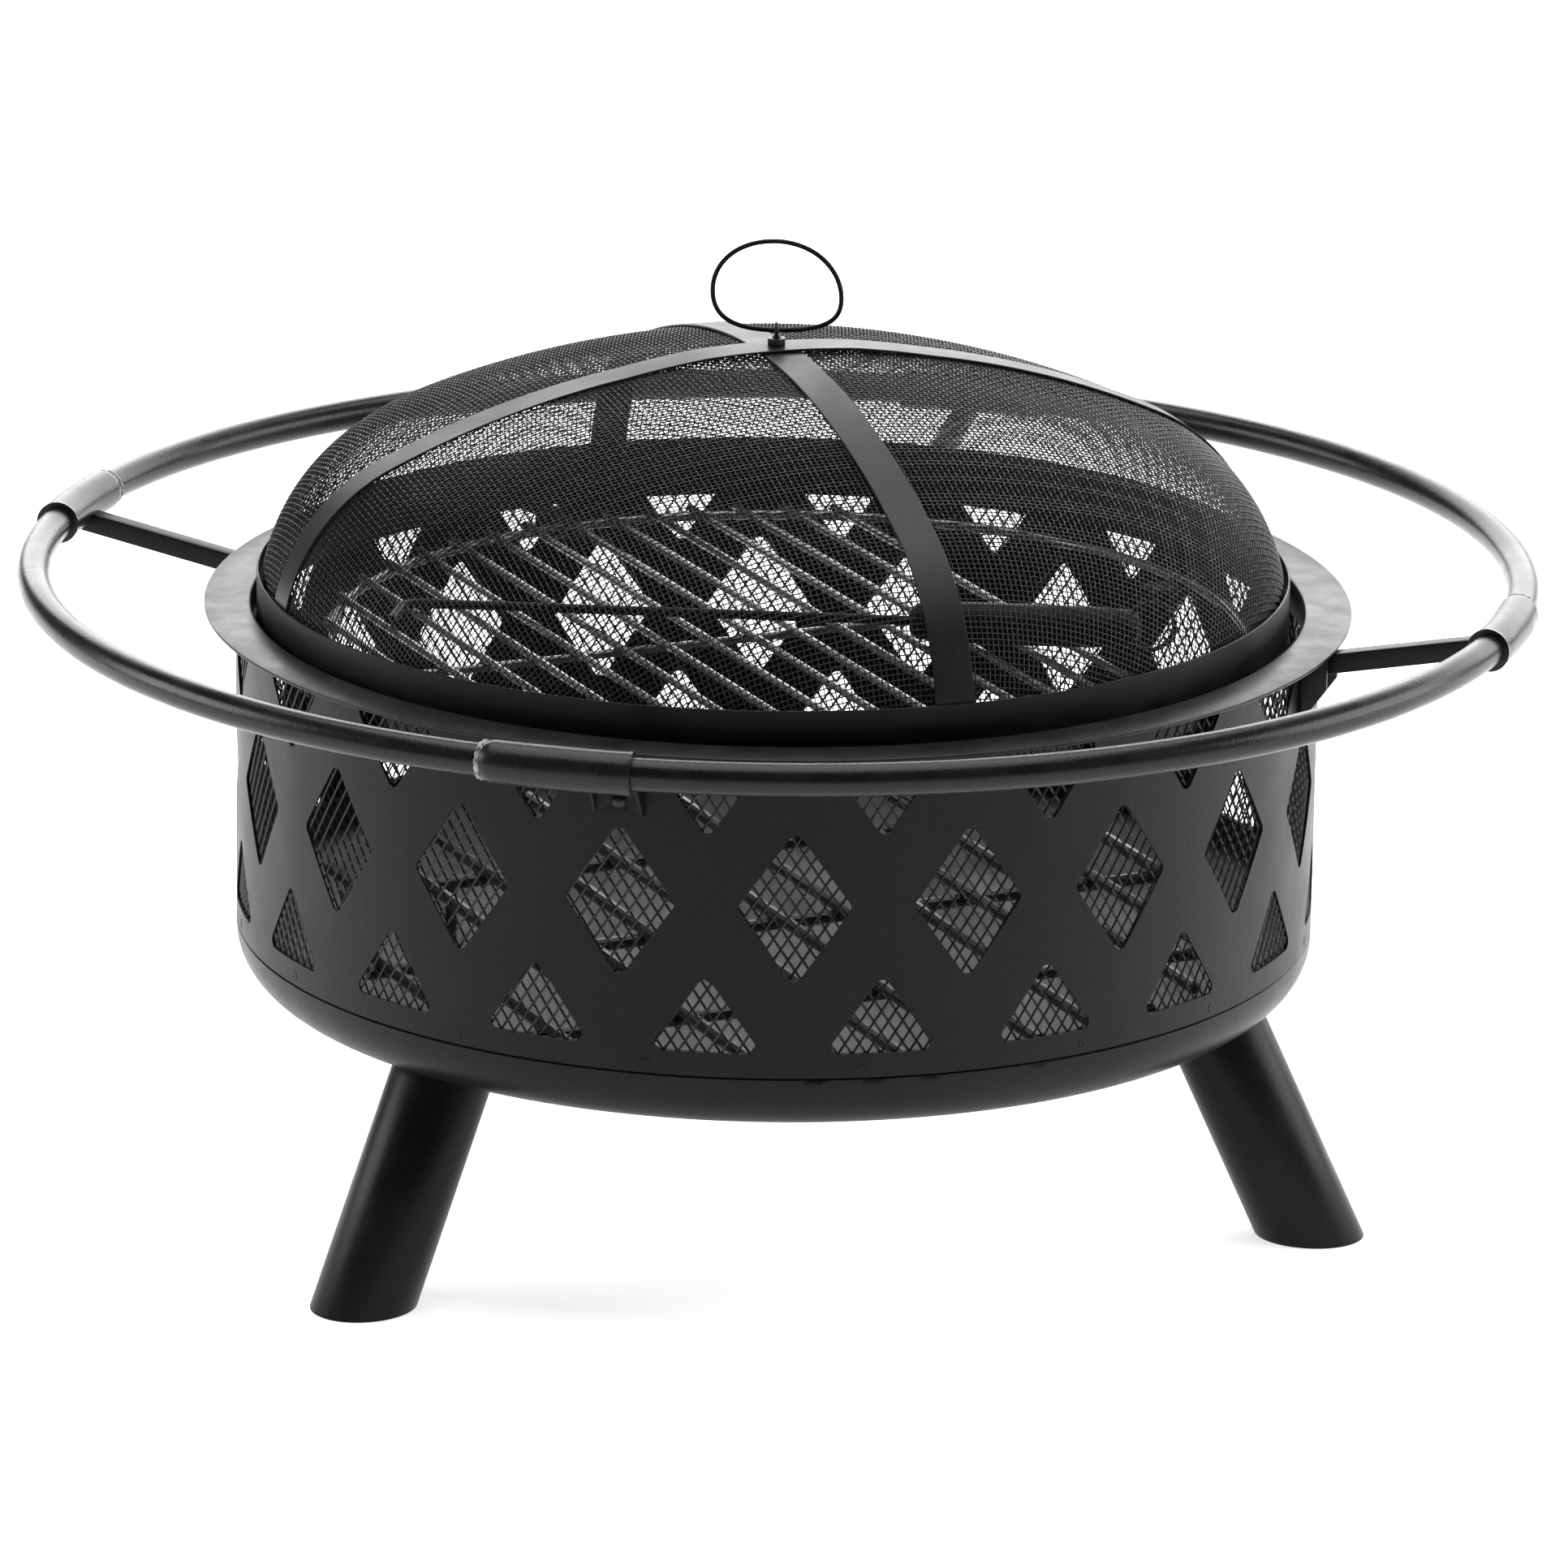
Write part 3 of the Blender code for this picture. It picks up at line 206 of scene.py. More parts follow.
# %% One node helper and the paint
def linear(hex_colour):
    """sRGB hex to the linear colour that a shader wants."""
    channels = [int(hex_colour[i : i + 2], 16) / 255 for i in (1, 3, 5)]
    return (*[c / 12.92 if c <= 0.04045 else ((c + 0.055) / 1.055) ** 2.4 for c in channels], 1.0)


def add_node(tree, kind, inputs=None, **settings):
    """Adds a node; inputs maps a socket's name or number to a value or to another node's output."""
    node = tree.nodes.new(kind)
    for name, value in settings.items():
        setattr(node, name, value)
    for socket, value in (inputs or {}).items():
        if isinstance(value, bpy.types.NodeSocket):
            tree.links.new(value, node.inputs[socket])
        else:
            node.inputs[socket].default_value = value
    return node


def sprayed_paint(name, thin, thick, gloss, peel=0.15, cloud=0.045, specular=0.13, metallic=0.0):
    """Baked black paint: thin and thick are its two shades, gloss the lowest and highest roughness."""
    paint = bpy.data.materials.new(name)
    paint.use_nodes = True
    tree = paint.node_tree
    shader = tree.nodes["Principled BSDF"]
    place = add_node(tree, "ShaderNodeTexCoord").outputs["Object"]
    clouds = add_node(
        tree, "ShaderNodeTexNoise", {"Vector": place, "Scale": 1 / cloud, "Detail": 4.0, "Roughness": 0.55}
    )
    specks = add_node(tree, "ShaderNodeTexNoise", {"Vector": place, "Scale": 1 / (2 * MM), "Detail": 2.0})
    mottle = add_node(
        tree,
        "ShaderNodeMath",
        {0: specks.outputs["Fac"], 1: 0.8, 2: clouds.outputs["Fac"]},
        operation="MULTIPLY_ADD",
    )
    share = add_node(
        tree,
        "ShaderNodeMapRange",
        {"Value": mottle.outputs["Value"], "From Min": 0.65, "From Max": 1.15},
    )
    shade = add_node(tree, "ShaderNodeMix", {0: share.outputs["Result"]}, data_type="RGBA")
    shade.inputs[6].default_value = linear(thin)
    shade.inputs[7].default_value = linear(thick)
    satin = add_node(
        tree,
        "ShaderNodeMapRange",
        {
            "Value": clouds.outputs["Fac"],
            "From Min": 0.3,
            "From Max": 0.7,
            "To Min": gloss[0],
            "To Max": gloss[1],
        },
    )
    bump = add_node(
        tree,
        "ShaderNodeBump",
        {"Height": specks.outputs["Fac"], "Strength": peel, "Distance": 0.3 * MM},
    )
    tree.links.new(shade.outputs[2], shader.inputs["Base Color"])
    tree.links.new(satin.outputs["Result"], shader.inputs["Roughness"])
    tree.links.new(bump.outputs["Normal"], shader.inputs["Normal"])
    shader.inputs["Specular IOR Level"].default_value = specular
    shader.inputs["Metallic"].default_value = metallic
    return paint


drum_paint = sprayed_paint("heat_paint_on_rolled_sheet", "#0e0e0f", "#171718", (0.38, 0.48), 0.5)
liner_paint = sprayed_paint(
    "heat_paint_on_expanded_metal", "#171718", "#222224", (0.32, 0.44), 0.15, 0.045, 0.25
)
# The bowl's colour also holds a painted sheen, a lighter grey on its inner floor, which is added further
# down.
pan_paint = sprayed_paint("heat_paint_with_painted_sheen_on_pressed_bowl", "#0f0f10", "#181819", (0.32, 0.42), 0.45)
rim_paint = sprayed_paint("heat_paint_on_rim", "#151516", "#202021", (0.32, 0.44), 0.3, 0.02, 0.20)
rail_paint = sprayed_paint("baked_paint_on_rail_tube", "#121213", "#1b1b1c", (0.24, 0.32), 0.4, 0.03, 0.22)
sleeve_paint = sprayed_paint("baked_paint_on_sleeves", "#131314", "#1f1f20", (0.24, 0.34), 0.5, 0.02, 0.22)
arm_paint = sprayed_paint("baked_paint_on_arms", "#101011", "#171718", (0.34, 0.44))
leg_paint = sprayed_paint("baked_paint_on_legs", "#0e0e0f", "#151516", (0.32, 0.42), 0.2)
mesh_paint = sprayed_paint("heat_paint_on_woven_wire", "#141415", "#212122", (0.34, 0.46), 0.0, 0.045, 0.30)
band_paint = sprayed_paint("heat_paint_on_screen_band", "#0e0e0f", "#151516", (0.34, 0.44), 0.25)
strap_paint = sprayed_paint("heat_paint_on_straps", "#161617", "#202021", (0.36, 0.48), 0.25, 0.045, 0.20)
wire_paint = sprayed_paint("baked_paint_on_handle_wire", "#0d0d0e", "#151516", (0.34, 0.44))
bolt_black = sprayed_paint("black_oxide_fasteners", "#1c1c1e", "#2b2b2d", (0.34, 0.48), 0.2, 0.01, 0.3, 0.5)
# The cooking grate's rods shine far more than paint does, so they are drawn as bright steel. A plated finish
# and a worn one would look alike here, and which it is stays open.
grate_paint = sprayed_paint(
    "bright_steel_grate_rods", "#6a6a6c", "#8c8c8e", (0.16, 0.26), 0.1, 0.03, 0.5, 0.8
)
log_paint = sprayed_paint("heat_paint_on_log_grate", "#222223", "#303031", (0.24, 0.36), 0.1, 0.03, 0.5)
poker_paint = sprayed_paint("baked_paint_on_poker", "#0d0d0e", "#141415", (0.34, 0.46))
grip_black = sprayed_paint("moulded_phenolic_grip", "#0c0c0d", "#131314", (0.42, 0.55))
weld_metal = sprayed_paint("brushed_over_weld_bead", "#1a1a1b", "#a8a8aa", (0.30, 0.60), 0.6, 0.003, 0.5)
print("paints made:", len(bpy.data.materials))

# %% [markdown]
# ## Drum wall
#
# A strip of 1.2 mm sheet is laser cut with diamonds and triangles while flat, then rolled and seam
# welded. Here the strip is a thin cylinder shell, and one mesh of rounded prisms cuts all sixty holes in
# a single exact Boolean, which keeps the true thickness at every edge of every hole.

# %% Drum wall: shell, then cut-outs
drum_low, drum_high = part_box("drum_wall")
DRUM_RADIUS = drum_high.x
WALL = 1.2 * MM
REPEATS = 20
PATTERN_TURN = 2.15
DIAMOND_MIDDLE = 275.5 * MM
DIAMOND = (65 * MM, 88 * MM)
TRIANGLE = (59 * MM, 44 * MM)
TRIANGLE_OFFSET = 44.1 * MM
CORNER = 4.5 * MM


def rounded(corners, radius, steps):
    """Outline of a convex polygon with an arc in place of each corner."""
    outline = []
    for i, corner in enumerate(corners):
        here = Vector(corner)
        back = (Vector(corners[i - 1]) - here).normalized()
        ahead = (Vector(corners[(i + 1) % len(corners)]) - here).normalized()
        half = acos(back.dot(ahead)) / 2
        middle = here + (back + ahead).normalized() * radius / sin(half)
        start = here + back * radius / tan(half) - middle
        end = here + ahead * radius / tan(half) - middle
        for step in range(steps + 1):
            outline.append(middle + start.lerp(end, step / steps).normalized() * radius)
    return outline


def hole_outlines():
    """Diamond and upright triangle with their corner arcs, about their own middle and base line."""
    slant = sqrt(DIAMOND[0] ** 2 + DIAMOND[1] ** 2)
    tip = asin(DIAMOND[0] / slant)
    tall = DIAMOND[1] / 2 + CORNER * (1 / sin(tip) - 1)
    wide = DIAMOND[0] / 2 + CORNER * (1 / cos(tip) - 1)
    diamond = [(0.0, tall), (wide, 0.0), (0.0, -tall), (-wide, 0.0)]
    base = TRIANGLE[0] / 2 + CORNER * 0.9
    triangle = [(-base, 0.0), (0.0, TRIANGLE[1] + CORNER * 0.8), (base, 0.0)]
    return rounded(diamond, CORNER, 6), rounded(triangle, CORNER, 6)


def hole_tool():
    """Every hole's prism in one mesh."""
    diamond, triangle = hole_outlines()
    low = DIAMOND_MIDDLE - TRIANGLE_OFFSET - TRIANGLE[1]
    high = DIAMOND_MIDDLE + TRIANGLE_OFFSET + TRIANGLE[1]
    bm = bmesh.new()
    for k in range(REPEATS):
        turn = PATTERN_TURN + 360.0 / REPEATS * k
        stagger = turn + 180.0 / REPEATS
        rows = (
            (diamond, turn, DIAMOND_MIDDLE, 1),
            (triangle, stagger, low, 1),
            (triangle, stagger, high, -1),
        )
        for outline, angle, height, upright in rows:
            place = outward(angle, DRUM_RADIUS - 8 * MM, height)
            verts = [bm.verts.new(place @ Vector((0.0, p.x, p.y * upright))) for p in outline]
            face = bm.faces.new(verts)
            pushed = bmesh.ops.extrude_face_region(bm, geom=[face])
            far = [item for item in pushed["geom"] if isinstance(item, bmesh.types.BMVert)]
            bmesh.ops.translate(bm, vec=place.to_3x3() @ Vector((16 * MM, 0.0, 0.0)), verts=far)
    bmesh.ops.recalc_face_normals(bm, faces=bm.faces)
    mesh = bpy.data.meshes.new("hole_tool")
    bm.to_mesh(mesh)
    bm.free()
    tool = bpy.data.objects.new("hole_tool", mesh)
    bpy.context.scene.collection.objects.link(tool)
    return tool


clear_selection()
bpy.ops.mesh.primitive_cylinder_add(
    vertices=360,
    radius=DRUM_RADIUS,
    depth=drum_high.z - drum_low.z,
    end_fill_type="NOTHING",
    location=(0.0, 0.0, (drum_high.z + drum_low.z) / 2),
)
drum = bpy.context.view_layer.objects.active
drum.name = "drum_shell"
sheet = drum.modifiers.new("sheet", "SOLIDIFY")
sheet.thickness = WALL
sheet.offset = -1.0
bpy.ops.object.modifier_apply(modifier=sheet.name)
cut(drum, hole_tool())
fit(drum, "base", drum_paint, ["drum_wall"], smooth=20.0)

# %% [markdown]
# ## Expanded-metal liner
#
# Behind the holes sits a sleeve of expanded metal: sheet that is slit and pulled until it opens into
# upright diamonds. Its strands run as two families of slanting lines round the drum, so each strand is
# one thin wire wound part of the way round. Two plain hoops close the sleeve's top and bottom edges.

# %% Liner strands and hems
liner_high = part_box("mesh_liner")[1]
LINER_BOTTOM = drum_low.z + 13 * MM
LINER_RADIUS = liner_high.x - 0.7 * MM
LINER_CELLS = 242
CELL_HEIGHT = 12.7 * MM
STRAND = 0.75 * MM


def strand_route(start, way):
    """One slanting strand from the bottom hem to the top hem."""
    rise = liner_high.z - LINER_BOTTOM - 2 * STRAND
    steps = 14
    turn = way * 2 * pi / LINER_CELLS * rise / CELL_HEIGHT
    route = []
    for i in range(steps + 1):
        angle = start + turn * i / steps
        radius = LINER_RADIUS + 0.25 * MM * way
        route.append((radius * cos(angle), radius * sin(angle), LINER_BOTTOM + STRAND + rise * i / steps))
    return route


starts = [2 * pi * k / LINER_CELLS for k in range(LINER_CELLS)]
strands = [strand_route(start, way) for start in starts for way in (1, -1)]
liner = wire_piece("expanded_metal_liner", strands, STRAND, 0)
fit(liner, "base", liner_paint, ["mesh_liner"], smooth=60.0)


def hoop(name, radius, height, tube, steps, sides, centre=(0.0, 0.0)):
    """Round ring lying flat."""
    angles = [2 * pi * i / sides for i in range(sides)]
    outline = [(radius + tube * cos(angle), height + tube * sin(angle)) for angle in angles]
    return spun_piece(name, outline, steps, (centre[0], centre[1], 0.0))


for edge, height in (("top", liner_high.z - STRAND), ("bottom", LINER_BOTTOM + STRAND)):
    hem = hoop(f"liner_hem_{edge}", LINER_RADIUS, height, STRAND, 180, 8)
    fit(hem, "base", liner_paint)

# %% [markdown]
# ## Pressed bowl
#
# The bowl is deep drawn from one disc: a wide shallow crown, a tight knuckle and a short lip that steps
# inside the drum, where it is spot welded. Drawing leaves fine upright wrinkles on the knuckle. The
# outline is spun, and the wrinkles are pressed into the mesh afterwards.

# %% Bowl outline, spin and drawing marks
PAN_SHEET = 1.5 * MM
KNUCKLE = 30 * MM
KNUCKLE_TOP = 168 * MM
CROWN = 1.5
LIP = DRUM_RADIUS - WALL - 0.3 * MM
LIP_HEIGHT = 12 * MM
SEAM = drum_low.z


def bowl_side(inset, knuckle_steps, crown_steps):
    """Outer side of the bowl, or its inner side at a full inset, from the wall to the middle."""
    centre = DRUM_RADIUS - KNUCKLE
    lean = asin(centre / (CROWN - KNUCKLE))
    middle = KNUCKLE_TOP + (CROWN - KNUCKLE) * cos(lean)
    outline = []
    for step in range(knuckle_steps + 1):
        angle = pi / 2 - (pi / 2 - lean) * step / knuckle_steps
        reach = KNUCKLE - inset
        outline.append((centre + reach * sin(angle), KNUCKLE_TOP - reach * cos(angle)))
    for step in range(1, crown_steps + 1):
        angle = lean * (1 - step / crown_steps)
        outline.append(((CROWN - inset) * sin(angle), middle - (CROWN - inset) * cos(angle)))
    return outline


outer = [(LIP, SEAM + LIP_HEIGHT), (LIP, SEAM - 0.6 * MM), (DRUM_RADIUS - 0.6 * MM, SEAM - 0.9 * MM)]
outer += [(DRUM_RADIUS, SEAM - 1.5 * MM)] + bowl_side(0.0, 14, 14)
inner = bowl_side(PAN_SHEET, 14, 14)[::-1]
inner += [(LIP - PAN_SHEET, SEAM - 1 * MM), (LIP - PAN_SHEET, SEAM + LIP_HEIGHT)]
bowl = spun_piece("pressed_bowl", inner + outer, 360, closed=False)
for vert in bowl.data.vertices:
    flat = Vector((vert.co.x, vert.co.y))
    if flat.length < DRUM_RADIUS - 18 * MM or vert.co.z > SEAM - 1.2 * MM:
        continue
    angle = atan2(vert.co.x, -vert.co.y)
    patch = max(0.0, noise.noise(Vector((cos(angle) * 2.2, sin(angle) * 2.2, 0.3))) + 0.15)
    ripple = sin(angle * 300) * 0.5 + noise.noise(Vector((angle * 40, 0.0, 0.0)))
    pull = -0.35 * MM * patch * max(0.0, ripple)
    vert.co.x += flat.normalized().x * pull
    vert.co.y += flat.normalized().y * pull
fit(bowl, "base", pan_paint, ["bottom_pan"], smooth=40.0)

# %% [markdown]
# ## The bowl's inner side
#
# Seen through the cut-outs, the bowl's floor is much lighter than its outside, because its glossy black
# paint reflects the bright studio. The cause is not known: it may be pale ash or primer, or only light
# falling on black paint. That reflection is painted: a lighter grey is mixed into the colour where a
# face looks up and lies below the seam, so the outside stays black.

# %% Painted sheen: lighter grey inside the bowl
pan_tree = pan_paint.node_tree
facing_up = add_node(
    pan_tree, "ShaderNodeSeparateXYZ", {0: add_node(pan_tree, "ShaderNodeNewGeometry").outputs["Normal"]}
)
upward = add_node(
    pan_tree,
    "ShaderNodeMapRange",
    {"Value": facing_up.outputs["Z"], "From Min": 0.1, "From Max": 0.4},
)
pan_place = add_node(pan_tree, "ShaderNodeTexCoord").outputs["Object"]
pan_spot = add_node(pan_tree, "ShaderNodeSeparateXYZ", {0: pan_place})
below_seam = add_node(
    pan_tree,
    "ShaderNodeMath",
    {0: pan_spot.outputs["Z"], 1: SEAM - 4 * MM},
    operation="LESS_THAN",
)
# Mask of the painted sheen: faces that look up and lie below the seam.
inside = add_node(
    pan_tree,
    "ShaderNodeMath",
    {0: upward.outputs["Result"], 1: below_seam.outputs["Value"]},
    operation="MULTIPLY",
)
pan_shader = pan_tree.nodes["Principled BSDF"]
outside_shade = pan_shader.inputs["Base Color"].links[0].from_socket
paint_and_painted_sheen = add_node(
    pan_tree,
    "ShaderNodeMix",
    {0: inside.outputs["Value"], 6: outside_shade},
    data_type="RGBA",
)
# Painted reflection: this lighter grey stands in for the bright studio seen in the glossy inner floor.
paint_and_painted_sheen.inputs[7].default_value = linear("#8a8a8c")
pan_tree.links.new(paint_and_painted_sheen.outputs[2], pan_shader.inputs["Base Color"])
print("bowl: black outside, lighter grey inside")

# %% [markdown]
# ## Spot welds on the seam
#
# The drum and the bowl's lip are joined by spot welds just above the seam. Each leaves a shallow round
# print with a raised rim. A print is a low turned button, modelled once and copied round the wall.

# %% Weld prints
WELDS = 16
WELD_HEIGHT = SEAM + 5.5 * MM


def weld_print(name, place):
    """Low ring-shaped button standing 0.25 mm proud."""
    rings = [(0.0, 0.05), (1.4, 0.08), (2.2, 0.25), (2.8, 0.2), (3.1, 0.0), (3.1, -0.3), (0.0, -0.3)]
    outline = [(radius * MM, height * MM) for radius, height in rings]
    button = spun_piece(name, outline, 20, closed=False)
    button.matrix_world = place
    return button


for k in range(WELDS):
    turn = 9.4 + 360.0 / WELDS * k + 2.1 * sin(k * 2.3)
    place = outward(turn, DRUM_RADIUS, WELD_HEIGHT) @ Matrix.Rotation(pi / 2, 4, "Y")
    fit(weld_print(f"spot_weld_{k + 1}", place), "base", drum_paint)

# %% [markdown]
# ## Rim
#
# The rim is a flat ring of 2 mm sheet with a collar rolled down inside, which keeps rain and the screen
# in place. Its edges are deburred, so the outline gets small arcs at its corners before it is spun.

# %% Flange and collar
rim_low, rim_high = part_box("rim_flange")
RIM_RADIUS = rim_high.x
RIM_TOP = rim_high.z
RIM_INNER = 317 * MM
RIM_SHEET = 2 * MM
rim_outline = [
    (RIM_RADIUS - 0.8 * MM, RIM_TOP),
    (RIM_RADIUS - 0.25 * MM, RIM_TOP - 0.25 * MM),
    (RIM_RADIUS, RIM_TOP - 0.8 * MM),
    (RIM_RADIUS, RIM_TOP - RIM_SHEET + 0.4 * MM),
    (RIM_RADIUS - 0.4 * MM, RIM_TOP - RIM_SHEET),
    (RIM_INNER + 3.0 * MM, RIM_TOP - RIM_SHEET),
    (RIM_INNER + 1.9 * MM, RIM_TOP - RIM_SHEET - 0.5 * MM),
    (RIM_INNER + 1.5 * MM, RIM_TOP - RIM_SHEET - 1.5 * MM),
    (RIM_INNER + 1.5 * MM, rim_low.z),
    (RIM_INNER, rim_low.z),
    (RIM_INNER, RIM_TOP - 2.2 * MM),
    (RIM_INNER + 0.4 * MM, RIM_TOP - 0.9 * MM),
    (RIM_INNER + 1.1 * MM, RIM_TOP - 0.2 * MM),
    (RIM_INNER + 2.2 * MM, RIM_TOP),
]
rim = spun_piece("rim_and_collar", rim_outline, 240)
fit(rim, "base", rim_paint, ["rim_flange"])

for k in range(4):
    node = f"screen_rest_{k + 1}"
    rest = soften(copy_of_frame(f"stepped_rest_{k + 1}", node), 0.5 * MM)
    fit(rest, "base", rim_paint, [node])

# %% [markdown]
# ## Ring rail
#
# The rail is four bent tubes that plug into sleeves. On the real pit one end of each sleeve is necked
# down onto the tube and welded, and the other end is left open with a small rolled lip. A disc is spun
# along the rail's own circle to make the tube, and the sleeve is the same spin with its radius changed
# ring by ring.

# %% Tube segments
sleeve_low, sleeve_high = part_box("rail_sleeve_1")
RAIL_HEIGHT = (sleeve_low.z + sleeve_high.z) / 2
RAIL_RADIUS = 447.6 * MM
RAIL_TUBE = 9.55 * MM
ARM_TURN = -15.85
SLEEVE_HALF = 5.6


def bent_tube(name, start, end, steps, sides, radius_at):
    """Tube along the rail's circle; radius_at gives its radius from 0 at one end to 1 at the other."""
    bm = bmesh.new()
    rings = []
    for i in range(steps + 1):
        share = i / steps
        place = outward(start + (end - start) * share, RAIL_RADIUS, RAIL_HEIGHT)
        radius = radius_at(share)
        ring = []
        for j in range(sides):
            angle = 2 * pi * j / sides
            bulge = radius + uneven(share, angle)
            ring.append(bm.verts.new(place @ Vector((bulge * cos(angle), 0.0, bulge * sin(angle)))))
        rings.append(ring)
    for near, far in zip(rings, rings[1:]):
        for j in range(sides):
            bm.faces.new((near[j], near[(j + 1) % sides], far[(j + 1) % sides], far[j]))
    bm.faces.new(rings[0])
    bm.faces.new(rings[-1])
    bmesh.ops.recalc_face_normals(bm, faces=bm.faces)
    mesh = bpy.data.meshes.new(name)
    bm.to_mesh(mesh)
    bm.free()
    piece = bpy.data.objects.new(name, mesh)
    bpy.context.scene.collection.objects.link(piece)
    return piece


def uneven(share, angle):
    """Hand-bent tube is round to a tenth of a millimetre."""
    return 0.06 * MM * sin(2 * angle + 9 * share)


for k in range(4):
    turn = ARM_TURN + 90.0 * k
    tube = bent_tube(f"rail_tube_{k + 1}", turn + 0.1, turn + 89.9, 90, 28, lambda share: RAIL_TUBE)
    fit(tube, "base", rail_paint, [f"rail_segment_{k + 1}"], smooth=50.0)

# %% Sleeves with one open lip and one necked end
SLEEVE_TUBE = 12.5 * MM
SLEEVE_SPAN = radians(2 * SLEEVE_HALF) * RAIL_RADIUS


def sleeve_radius(share):
    """Open lip at share 1, necked end at share 0."""
    along = share * SLEEVE_SPAN
    if along < 7 * MM:
        return 10.4 * MM + (SLEEVE_TUBE - 10.4 * MM) * sin(pi / 2 * along / (7 * MM))
    left = SLEEVE_SPAN - along
    return SLEEVE_TUBE + (0.5 * MM * (1 - left / (2.5 * MM)) if left < 2.5 * MM else 0.0)


for k in range(4):
    turn = ARM_TURN + 90.0 * k
    lip = -1 if k == 1 else 1
    ends = (turn - SLEEVE_HALF * lip, turn + SLEEVE_HALF * lip)
    sleeve = bent_tube(f"rail_joint_sleeve_{k + 1}", *ends, 48, 36, sleeve_radius)
    fit(sleeve, "base", sleeve_paint, [f"rail_sleeve_{k + 1}"], smooth=40.0)

# %% [markdown]
# ## Weld beads
#
# A hand weld runs round the necked end of each sleeve as a row of small overlapping ripples. The bead is
# a ring whose thickness rises and falls with each ripple, with some unevenness so that no two look
# alike.


# %% Beads at the necks
def bead_ring(name, place, radius, size, ripples, seed):
    """Rippled ring in the frame's YZ plane."""
    bm = bmesh.new()
    rings = []
    steps = ripples * 6
    for i in range(steps):
        angle = 2 * pi * i / steps
        wobble = noise.noise(Vector((cos(angle) * 2, sin(angle) * 2, seed)))
        thick = size * (0.78 + 0.3 * abs(sin(angle * ripples / 2)) + 0.35 * wobble)
        drift = Matrix.Translation((radius, wobble * size * 0.7, 0.0))
        spot = place @ Matrix.Rotation(angle, 4, "Y") @ drift
        ring = []
        for j in range(8):
            side = 2 * pi * j / 8
            ring.append(bm.verts.new(spot @ Vector((thick * cos(side), thick * sin(side) * 1.25, 0.0))))
        rings.append(ring)
    for i, near in enumerate(rings):
        far = rings[(i + 1) % steps]
        for j in range(8):
            bm.faces.new((near[j], near[(j + 1) % 8], far[(j + 1) % 8], far[j]))
    bmesh.ops.recalc_face_normals(bm, faces=bm.faces)
    mesh = bpy.data.meshes.new(name)
    bm.to_mesh(mesh)
    bm.free()
    piece = bpy.data.objects.new(name, mesh)
    bpy.context.scene.collection.objects.link(piece)
    return piece


BEAD = 1.5 * MM
NECK_RADIUS = 10 * MM
for k in range(4):
    lip = -1 if k == 1 else 1
    turn = ARM_TURN + 90.0 * k - (SLEEVE_HALF + 0.05) * lip
    place = outward(turn, RAIL_RADIUS, RAIL_HEIGHT)
    bead = bead_ring(f"sleeve_weld_{k + 1}", place, NECK_RADIUS, BEAD, 16, k)
    fit(bead, "base", weld_metal)

# %% [markdown]
# ## Arms and brackets
#
# Square bars carry the rail out from channel brackets riveted to the drum. Their flat shapes are already
# right in the frame, so each is a merged copy with its edges softened: a millimetre on the bar, half on
# the sheet.

# %% Arms, brackets and rivets
ARM_REACH = Vector((7 * MM, 0.0, 1.4 * MM))
OUTER_END = 0.4
for k in range(4):
    arm = copy_of_frame(f"square_arm_{k + 1}", f"rail_arm_{k + 1}")
    reach = outward(ARM_TURN + 90.0 * k).to_3x3() @ ARM_REACH
    for vert in arm.data.vertices:
        if Vector((vert.co.x, vert.co.y)).length > OUTER_END:
            vert.co += reach
    arm = soften(arm, 1.1 * MM, 3)
    fit(arm, "base", arm_paint, [f"rail_arm_{k + 1}"])
    bracket = soften(copy_of_frame(f"channel_bracket_{k + 1}", f"arm_bracket_{k + 1}"), 0.45 * MM, 2)
    fit(bracket, "base", arm_paint, [f"arm_bracket_{k + 1}"])

rivet_low, rivet_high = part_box("bracket_rivet_1")
RIVET_HEIGHT = (rivet_low.z + rivet_high.z) / 2
RIVET_RADIUS = 329.2 * MM
rivet_outline = [(0.0, 2.5), (1.6, 2.2), (3.0, 1.5), (4.1, 0.5), (4.5, 0.0), (2.5, 0.0), (2.5, -5.9)]
rivet_outline += [(4.5, -5.9), (4.1, -6.4), (3.0, -7.4), (1.6, -8.1), (0.0, -8.4)]
for k in range(4):
    rivet = spun_piece(f"domed_rivet_{k + 1}", [(r * MM, z * MM) for r, z in rivet_outline], 24, closed=False)
    turn = ARM_TURN + 90.0 * k
    rivet.matrix_world = outward(turn, RIVET_RADIUS, RIVET_HEIGHT) @ Matrix.Rotation(pi / 2, 4, "Y")
    fit(rivet, "base", bolt_black, [f"bracket_rivet_{k + 1}"])

# %% [markdown]
# ## Legs
#
# Each leg is 60 mm tube, splayed outwards, cut level at the ground and coped to the bowl at the top. The
# tube starts as an open cylinder along its axis. Its top ring is then slid along the axis until every
# point meets the bowl, and its bottom ring until it meets the ground, which is what the saw does.
# Solidify gives the wall.

# %% Coped tubes
LEG_TUBE = 30 * MM
FOOT_RADIUS = 338 * MM
SPLAY = 0.486


def bowl_skin(radius):
    """Height of the bowl's outer side at a radius."""
    lean = asin((DRUM_RADIUS - KNUCKLE) / (CROWN - KNUCKLE))
    edge = (DRUM_RADIUS - KNUCKLE) + KNUCKLE * sin(lean)
    middle = KNUCKLE_TOP + (CROWN - KNUCKLE) * cos(lean)
    if radius < edge:
        return middle - sqrt(CROWN * CROWN - radius * radius)
    return KNUCKLE_TOP - sqrt(max(0.0, KNUCKLE**2 - (radius - DRUM_RADIUS + KNUCKLE) ** 2))


